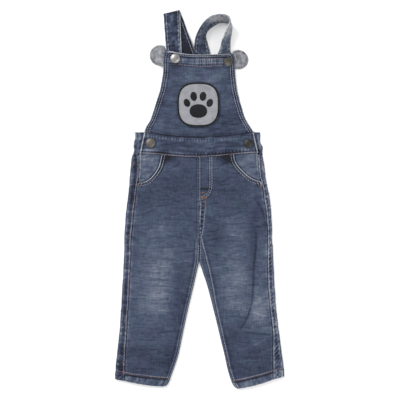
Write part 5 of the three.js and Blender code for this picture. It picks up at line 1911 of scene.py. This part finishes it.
def lathe(name, profile, segments, material, centre, normal):
    """A round piece turned from a profile of radius and height."""
    profile = np.array(profile, float)
    angle = np.linspace(0, 2 * np.pi, segments, endpoint=False)
    inside = profile[1:-1]
    ring = np.stack([
        inside[:, :1] * np.cos(angle), inside[:, :1] * np.sin(angle), inside[:, 1:2] + 0 * angle,
    ], -1).reshape(-1, 3)
    points = np.concatenate([[[0, 0, profile[0, 1]]], ring, [[0, 0, profile[-1, 1]]]])
    faces = []
    for step in range(segments):
        after = (step + 1) % segments
        faces.append((0, 1 + after, 1 + step))
        for row in range(len(inside) - 1):
            base = 1 + row * segments
            faces.append((base + step, base + after, base + segments + after, base + segments + step))
        base = 1 + (len(inside) - 1) * segments
        faces.append((base + step, base + after, len(points) - 1))
    z = normal / np.linalg.norm(normal)
    x = np.cross([0, 1, 0], z)
    x = x / np.linalg.norm(x)
    y = np.cross(z, x)
    points = points @ np.stack([x, y, z]) + centre
    mesh = bpy.data.meshes.new(name)
    mesh.from_pydata(to_metres(points).tolist(), [], faces)
    mesh.polygons.foreach_set("use_smooth", np.ones(len(faces), bool))
    mesh.validate()
    return new_object(name, mesh, material)


def slope_normal(surface, x, y, step=4):
    slope_x = (surface(x + step, y) - surface(x - step, y)) / (2 * step)
    slope_y = (surface(x, y + step) - surface(x, y - step)) / (2 * step)
    return np.array([-slope_x, -slope_y, 1.0]) / math.sqrt(slope_x**2 + slope_y**2 + 1)


class DUNGAREES_OT_buttons(bpy.types.Operator):
    """Makes the four metal tack buttons, each square to the cloth it is on"""
    bl_idname = "dungarees.buttons"
    bl_label = "Buttons"

    def execute(self, context):
        colours = scene_colours()
        finishes = {
            "steel": metal("steel_bright", colours.steel, 0.34, 0.8),
            "steel_worn": metal("steel_worn", colours.steel_worn, 0.5, 0.8),
            "brass": metal("brass_antique", colours.brass, 0.45),
            "brass_dark": metal("brass_dark", colours.brass_dark, 0.48),
        }

        def bib_top(x, y):
            return float(bib_mid(np.float64(x), np.float64(y))) - WALL / 2 + HEM_WALL

        def band_top(x, y):
            return WAISTBAND_MID + HEM_WALL / 2

        for node, x, y, cloth, finish in BUTTON_PLACES:
            surface = bib_top if cloth == "bib" else band_top
            normal = slope_normal(surface, x, y)
            centre = np.array([x, y, surface(x, y)]) + normal * REST_GAP
            cap = lathe(f"cap_{node}", BUTTON_PROFILE, 64, finishes[finish], centre, normal)
            finish_piece(cap, "steel" if finish == "steel" else "brass", node)
        return {"FINISHED"}


# Materials

LIGHT_LEVEL = 2.5


def linear(*values):
    """Linear colour of a surface that looks as the usual 0 to 255 values say under the stage's light."""
    shares = [value / 255 for value in values]
    return [(c / 12.92 if c <= 0.04045 else ((c + 0.055) / 1.055) ** 2.4) / LIGHT_LEVEL for c in shares]


def new_material(name):
    material = bpy.data.materials.new(name)
    material.use_nodes = True
    return material, material.node_tree, material.node_tree.nodes["Principled BSDF"]


def noise(tree, vector, scale, detail=2, roughness=0.5):
    inputs = {"Vector": vector, "Scale": scale, "Detail": detail, "Roughness": roughness}
    return add(tree, "ShaderNodeTexNoise", inputs)


def stretched(tree, vector, scale, turn=0):
    inputs = {"Vector": vector, "Scale": scale, "Rotation": (0, 0, turn)}
    return add(tree, "ShaderNodeMapping", inputs)


def sum_of(tree, total, *terms):
    """total plus each value less a half, times its weight."""
    for value, weight in terms:
        more = add(tree, "ShaderNodeMath", {0: value, 1: weight, 2: total}, operation="MULTIPLY_ADD")
        total = add(tree, "ShaderNodeMath", {0: more, 1: weight / 2}, operation="SUBTRACT")
    return total


def ramp(tree, fac, stops):
    node = add(tree, "ShaderNodeValToRGB", {"Fac": fac})
    elements = node.color_ramp.elements
    while len(elements) < len(stops):
        elements.new(0.5)
    for element, (position, colour) in zip(elements, stops):
        element.position = position
        element.color = (*colour, 1)
    return node


def shades(tree, fac, colour, *stops):
    """A ramp of one colour, made darker or lighter by a factor at each stop."""
    colour = np.array(colour)
    return ramp(tree, fac, [(position, np.minimum(colour * factor, 1)) for position, factor in stops])


def emboss(tree, shader, height, strength, distance):
    bump = add(tree, "ShaderNodeBump", {"Height": height, "Strength": strength, "Distance": distance})
    feed(tree, shader, {"Normal": bump})


def cloth_map(tree):
    """The cloth's own coordinates in metres, and how worn it is, with its painted shade and painted light."""
    uv = add(tree, "ShaderNodeUVMap", {}, uv_map="UVMap")
    return uv, add(tree, "ShaderNodeAttribute", {}, attribute_name="wear_and_shading").outputs["Fac"]


def object_place(tree):
    return add(tree, "ShaderNodeTexCoord", {}).outputs["Object"]


def denim(name):
    """Washed denim: yarn-dyed twill, worn to white where the attribute that says how worn it is stands high; that
    attribute also holds painted shade and painted light, which darken and lighten the denim in the same way.
    """
    if name in bpy.data.materials:
        return bpy.data.materials[name]
    material, tree, shader = new_material(name)
    cloth, wear_and_shading = cloth_map(tree)
    cloud = noise(tree, cloth, 60, 3)
    slub = noise(tree, stretched(tree, cloth, (640, 60, 1)), 1)
    cross = noise(tree, stretched(tree, cloth, (80, 560, 1)), 1)
    grain = noise(tree, cloth, 900)
    diagonal = stretched(tree, cloth, (260, 260, 1), math.radians(32))
    twill = add(tree, "ShaderNodeTexWave", {"Vector": diagonal, "Scale": 1, "Distortion": 0.6},
                wave_type="BANDS").outputs["Fac"]
    fac = sum_of(tree, wear_and_shading, (cloud, 0.16), (slub, 0.30), (cross, 0.26), (grain, 0.30), (twill, 0.08))
    colours = scene_colours()
    colour = ramp(tree, fac, [
        (0.0, colours.denim_deep),
        (0.2, colours.denim_dark),
        (0.4, colours.denim_mid),
        (0.6, colours.denim_faded),
        (1.0, colours.denim_white),
    ])
    hue = add(tree, "ShaderNodeMapRange", {
        "Value": noise(tree, cloth, 34, 3),
        "From Min": 0.3, "From Max": 0.7, "To Min": 0.488, "To Max": 0.512,
    })
    tint = add(tree, "ShaderNodeHueSaturation", {"Hue": hue, "Color": colour})
    feed(tree, shader, {
        "Base Color": tint, "Roughness": 0.88, "Specular IOR Level": 0.2,
        "Sheen Weight": 0.03, "Sheen Roughness": 0.5,
    })
    emboss(tree, shader, sum_of(tree, twill, (grain, 0.8), (cross, 0.7)), 0.35, 0.00025)
    return material


def thread(name, colour):
    if name in bpy.data.materials:
        return bpy.data.materials[name]
    material, tree, shader = new_material(name)
    place = object_place(tree)
    fibres = noise(tree, place, 2600, 1)
    fac = sum_of(tree, noise(tree, place, 160), (fibres, 0.5))
    shade = shades(tree, fac, colour, (0.25, 0.55), (0.5, 1), (0.8, 1.35))
    feed(tree, shader, {"Base Color": shade, "Roughness": 0.7, "Sheen Weight": 0.1})
    emboss(tree, shader, fibres, 0.3, 0.0001)
    return material


def satin_material():
    """Black rayon embroidery thread."""
    material, tree, shader = new_material("satin_black")
    place = object_place(tree)
    shade = shades(tree, noise(tree, place, 300), scene_colours().satin, (0.3, 0.6), (0.7, 1.5))
    feed(tree, shader, {"Base Color": shade, "Roughness": 0.6, "Specular IOR Level": 0.2})
    emboss(tree, shader, noise(tree, place, 2400, 1), 0.25, 0.0001)
    return material


def jersey(name, colour):
    """Heathered grey jersey: fine ribs of knit, with lighter and darker fibres mixed in."""
    if name in bpy.data.materials:
        return bpy.data.materials[name]
    material, tree, shader = new_material(name)
    cloth, wear_and_shading = cloth_map(tree)
    heather = noise(tree, stretched(tree, cloth, (700, 420, 1)), 1, 3, 0.65)
    cloud = noise(tree, cloth, 120)
    knit = stretched(tree, cloth, (280, 60, 1))
    ribs = add(tree, "ShaderNodeTexWave", {"Vector": knit, "Scale": 1, "Distortion": 1.5}).outputs["Fac"]
    fac = sum_of(tree, wear_and_shading, (heather, 0.7), (cloud, 0.25), (ribs, 0.16))
    shade = shades(tree, fac, colour, (0.1, 0.5), (0.5, 1), (0.9, 1.5))
    feed(tree, shader, {
        "Base Color": shade, "Roughness": 0.95, "Sheen Weight": 0.15, "Sheen Roughness": 0.5,
    })
    emboss(tree, shader, sum_of(tree, ribs, (heather, 0.8)), 0.4, 0.0003)
    return material


def metal(name, colour, roughness, clean=0.55):
    """Cast metal, tarnished in cloudy spots."""
    material, tree, shader = new_material(name)
    place = object_place(tree)
    tarnish = noise(tree, place, 420, 4, 0.6)
    shade = shades(tree, tarnish, colour, (0.3, clean), (0.5, 1), (0.75, 1.2))
    uneven = sum_of(tree, tarnish, (noise(tree, place, 1500), 0.5))
    rough = add(tree, "ShaderNodeMapRange", {
        "Value": uneven, "To Min": roughness - 0.12, "To Max": roughness + 0.16,
    })
    feed(tree, shader, {"Base Color": shade, "Metallic": 1, "Roughness": rough})
    emboss(tree, shader, noise(tree, place, 900, 3), 0.2, 0.00015)
    return material


# Stage

FRAME_SIDE = 0.736
LENS = 150
SENSOR = 36
CLOTH_LEVEL = 0.005
FLOOR_HALF = 4
FLOOR_Z = -0.0004


class DUNGAREES_OT_stage(bpy.types.Operator):
    """Makes the pale floor, the soft lights and the camera straight above"""
    bl_idname = "dungarees.stage"
    bl_label = "Stage"

    def execute(self, context):
        mesh = bpy.data.meshes.new("floor")
        signs = ((-1, -1), (1, -1), (1, 1), (-1, 1))
        mesh.from_pydata([(x * FLOOR_HALF, y * FLOOR_HALF, FLOOR_Z) for x, y in signs], [], [(0, 1, 2, 3)])
        material, tree, shader = new_material("floor_paper")
        cloud = noise(tree, object_place(tree), 3)
        shade = shades(tree, cloud, scene_colours().floor, (0.3, 0.99), (0.7, 1))
        feed(tree, shader, {"Base Color": shade, "Roughness": 0.95, "Specular IOR Level": 0.1})
        new_object("floor", mesh, material)
        self.lights()
        camera = bpy.data.cameras.new("camera")
        camera.lens = LENS
        camera.sensor_width = SENSOR
        eye = bpy.data.objects.new("camera", camera)
        eye.location = (PLACE[0] * MM, PLACE[1] * MM, FRAME_SIDE * LENS / SENSOR + CLOTH_LEVEL)
        context.scene.collection.objects.link(eye)
        context.scene.camera = eye
        context.scene.view_settings.view_transform = "Standard"
        return {"FINISHED"}

    def lights(self):
        world = bpy.data.worlds.new("studio")
        world.use_nodes = True
        background = world.node_tree.nodes["Background"]
        background.inputs["Color"].default_value = (1, 1, 1, 1)
        background.inputs["Strength"].default_value = 0.9
        bpy.context.scene.world = world
        for name, place, size, power in (
            ("key_light", (-1.8, 1.9, 1.9), 1.8, 152),
            ("fill_light", (1.4, -1.5, 2.0), 2.0, 50),
        ):
            light = bpy.data.lights.new(name, "AREA")
            light.size = size
            light.energy = power
            lamp = bpy.data.objects.new(name, light)
            lamp.location = place
            lamp.rotation_euler = (-Vector(place)).to_track_quat("-Z", "Y").to_euler()
            bpy.context.scene.collection.objects.link(lamp)


# Settings, panel and registration

def length(name, description, default, unit="LENGTH"):
    return FloatProperty(name=name, description=description, default=default, min=0, unit=unit, precision=5)


def colour(name, description, default):
    return FloatVectorProperty(
        name=name, description=description, default=default, subtype="COLOR", min=0, max=1,
    )


class DungareesSizes(bpy.types.PropertyGroup):
    stitch_pitch: length("Stitch pitch", "Distance from one stitch to the next", 0.0046)
    stitch_length: length("Stitch length", "Length of one stitch on the cloth", 0.0036)
    thread_width: length("Thread width", "Thickness of the topstitching thread", 0.0011)
    crinkle_height: length("Crinkle height", "Height of the fine crinkles of the legs", 0.00022)
    crease_height: length("Crease height", "How deep the narrow creases are", 1.0, "NONE")


class DungareesColours(bpy.types.PropertyGroup):
    denim_deep: colour("Deep denim", "Denim in the shade of seams", linear(24, 27, 40))
    denim_dark: colour("Dark denim", "Denim that is little worn", linear(52, 61, 86))
    denim_mid: colour("Denim", "Denim of the panels", linear(78, 90, 116))
    denim_faded: colour("Faded denim", "Denim on thighs and knees", linear(116, 126, 146))
    denim_white: colour("White denim", "Denim worn to its white yarn", linear(204, 206, 212))
    thread_pale: colour("Pale thread", "Most of the topstitching", linear(176, 178, 192))
    thread_amber: colour("Amber thread", "Bartacks", linear(142, 94, 70))
    thread_rose: colour("Rose thread", "Hem and side stitches", linear(180, 153, 158))
    thread_brown: colour("Brown thread", "Second row of stitches of the hems", linear(70, 52, 56))
    thread_dark: colour("Dark thread", "Buttonholes", linear(44, 47, 60))
    jersey: colour("Jersey", "The round tabs", linear(146, 147, 153))
    patch: colour("Patch", "The patch on the bib", linear(168, 169, 175))
    satin: colour("Satin stitch", "Embroidery thread", linear(19, 20, 25))
    steel: colour("Bright steel", "Left button of the bib", linear(205, 203, 200))
    steel_worn: colour("Worn steel", "Left button of the waist", linear(136, 130, 124))
    brass: colour("Antique brass", "Right button of the bib", linear(120, 119, 110))
    brass_dark: colour("Dark brass", "Right button of the waist", linear(84, 85, 82))
    floor: colour("Floor", "The pale floor", (0.74, 0.74, 0.74))


def scene_sizes():
    return bpy.context.scene.dungarees_sizes


def scene_colours():
    return bpy.context.scene.dungarees_colours


class DUNGAREES_PT_panel(bpy.types.Panel):
    """Lists the settings and the steps"""
    bl_idname = "DUNGAREES_PT_panel"
    bl_label = "Dungarees"
    bl_space_type = "VIEW_3D"
    bl_region_type = "UI"
    bl_category = "Dungarees"

    def draw(self, context):
        layout = self.layout
        for group in (context.scene.dungarees_sizes, context.scene.dungarees_colours):
            for name in group.bl_rna.properties.keys():
                if name not in ("rna_type", "name"):
                    layout.prop(group, name)
        for step in STEPS:
            layout.operator(step.bl_idname)


STEPS = (
    DUNGAREES_OT_legs,
    DUNGAREES_OT_pockets,
    DUNGAREES_OT_fly,
    DUNGAREES_OT_waistbands,
    DUNGAREES_OT_straps,
    DUNGAREES_OT_bib,
    DUNGAREES_OT_patch,
    DUNGAREES_OT_tabs,
    DUNGAREES_OT_buttons,
    DUNGAREES_OT_sewing,
    DUNGAREES_OT_stage,
)
CLASSES = (DungareesSizes, DungareesColours, *STEPS, DUNGAREES_PT_panel)


def register():
    for item in CLASSES:
        bpy.utils.register_class(item)
    bpy.types.Scene.dungarees_sizes = PointerProperty(type=DungareesSizes)
    bpy.types.Scene.dungarees_colours = PointerProperty(type=DungareesColours)


def unregister():
    del bpy.types.Scene.dungarees_colours
    del bpy.types.Scene.dungarees_sizes
    for item in reversed(CLASSES):
        bpy.utils.unregister_class(item)


def main():
    register()
    for step in STEPS:
        group, name = step.bl_idname.split(".")
        getattr(getattr(bpy.ops, group), name)()


if __name__ == "__main__":
    main()
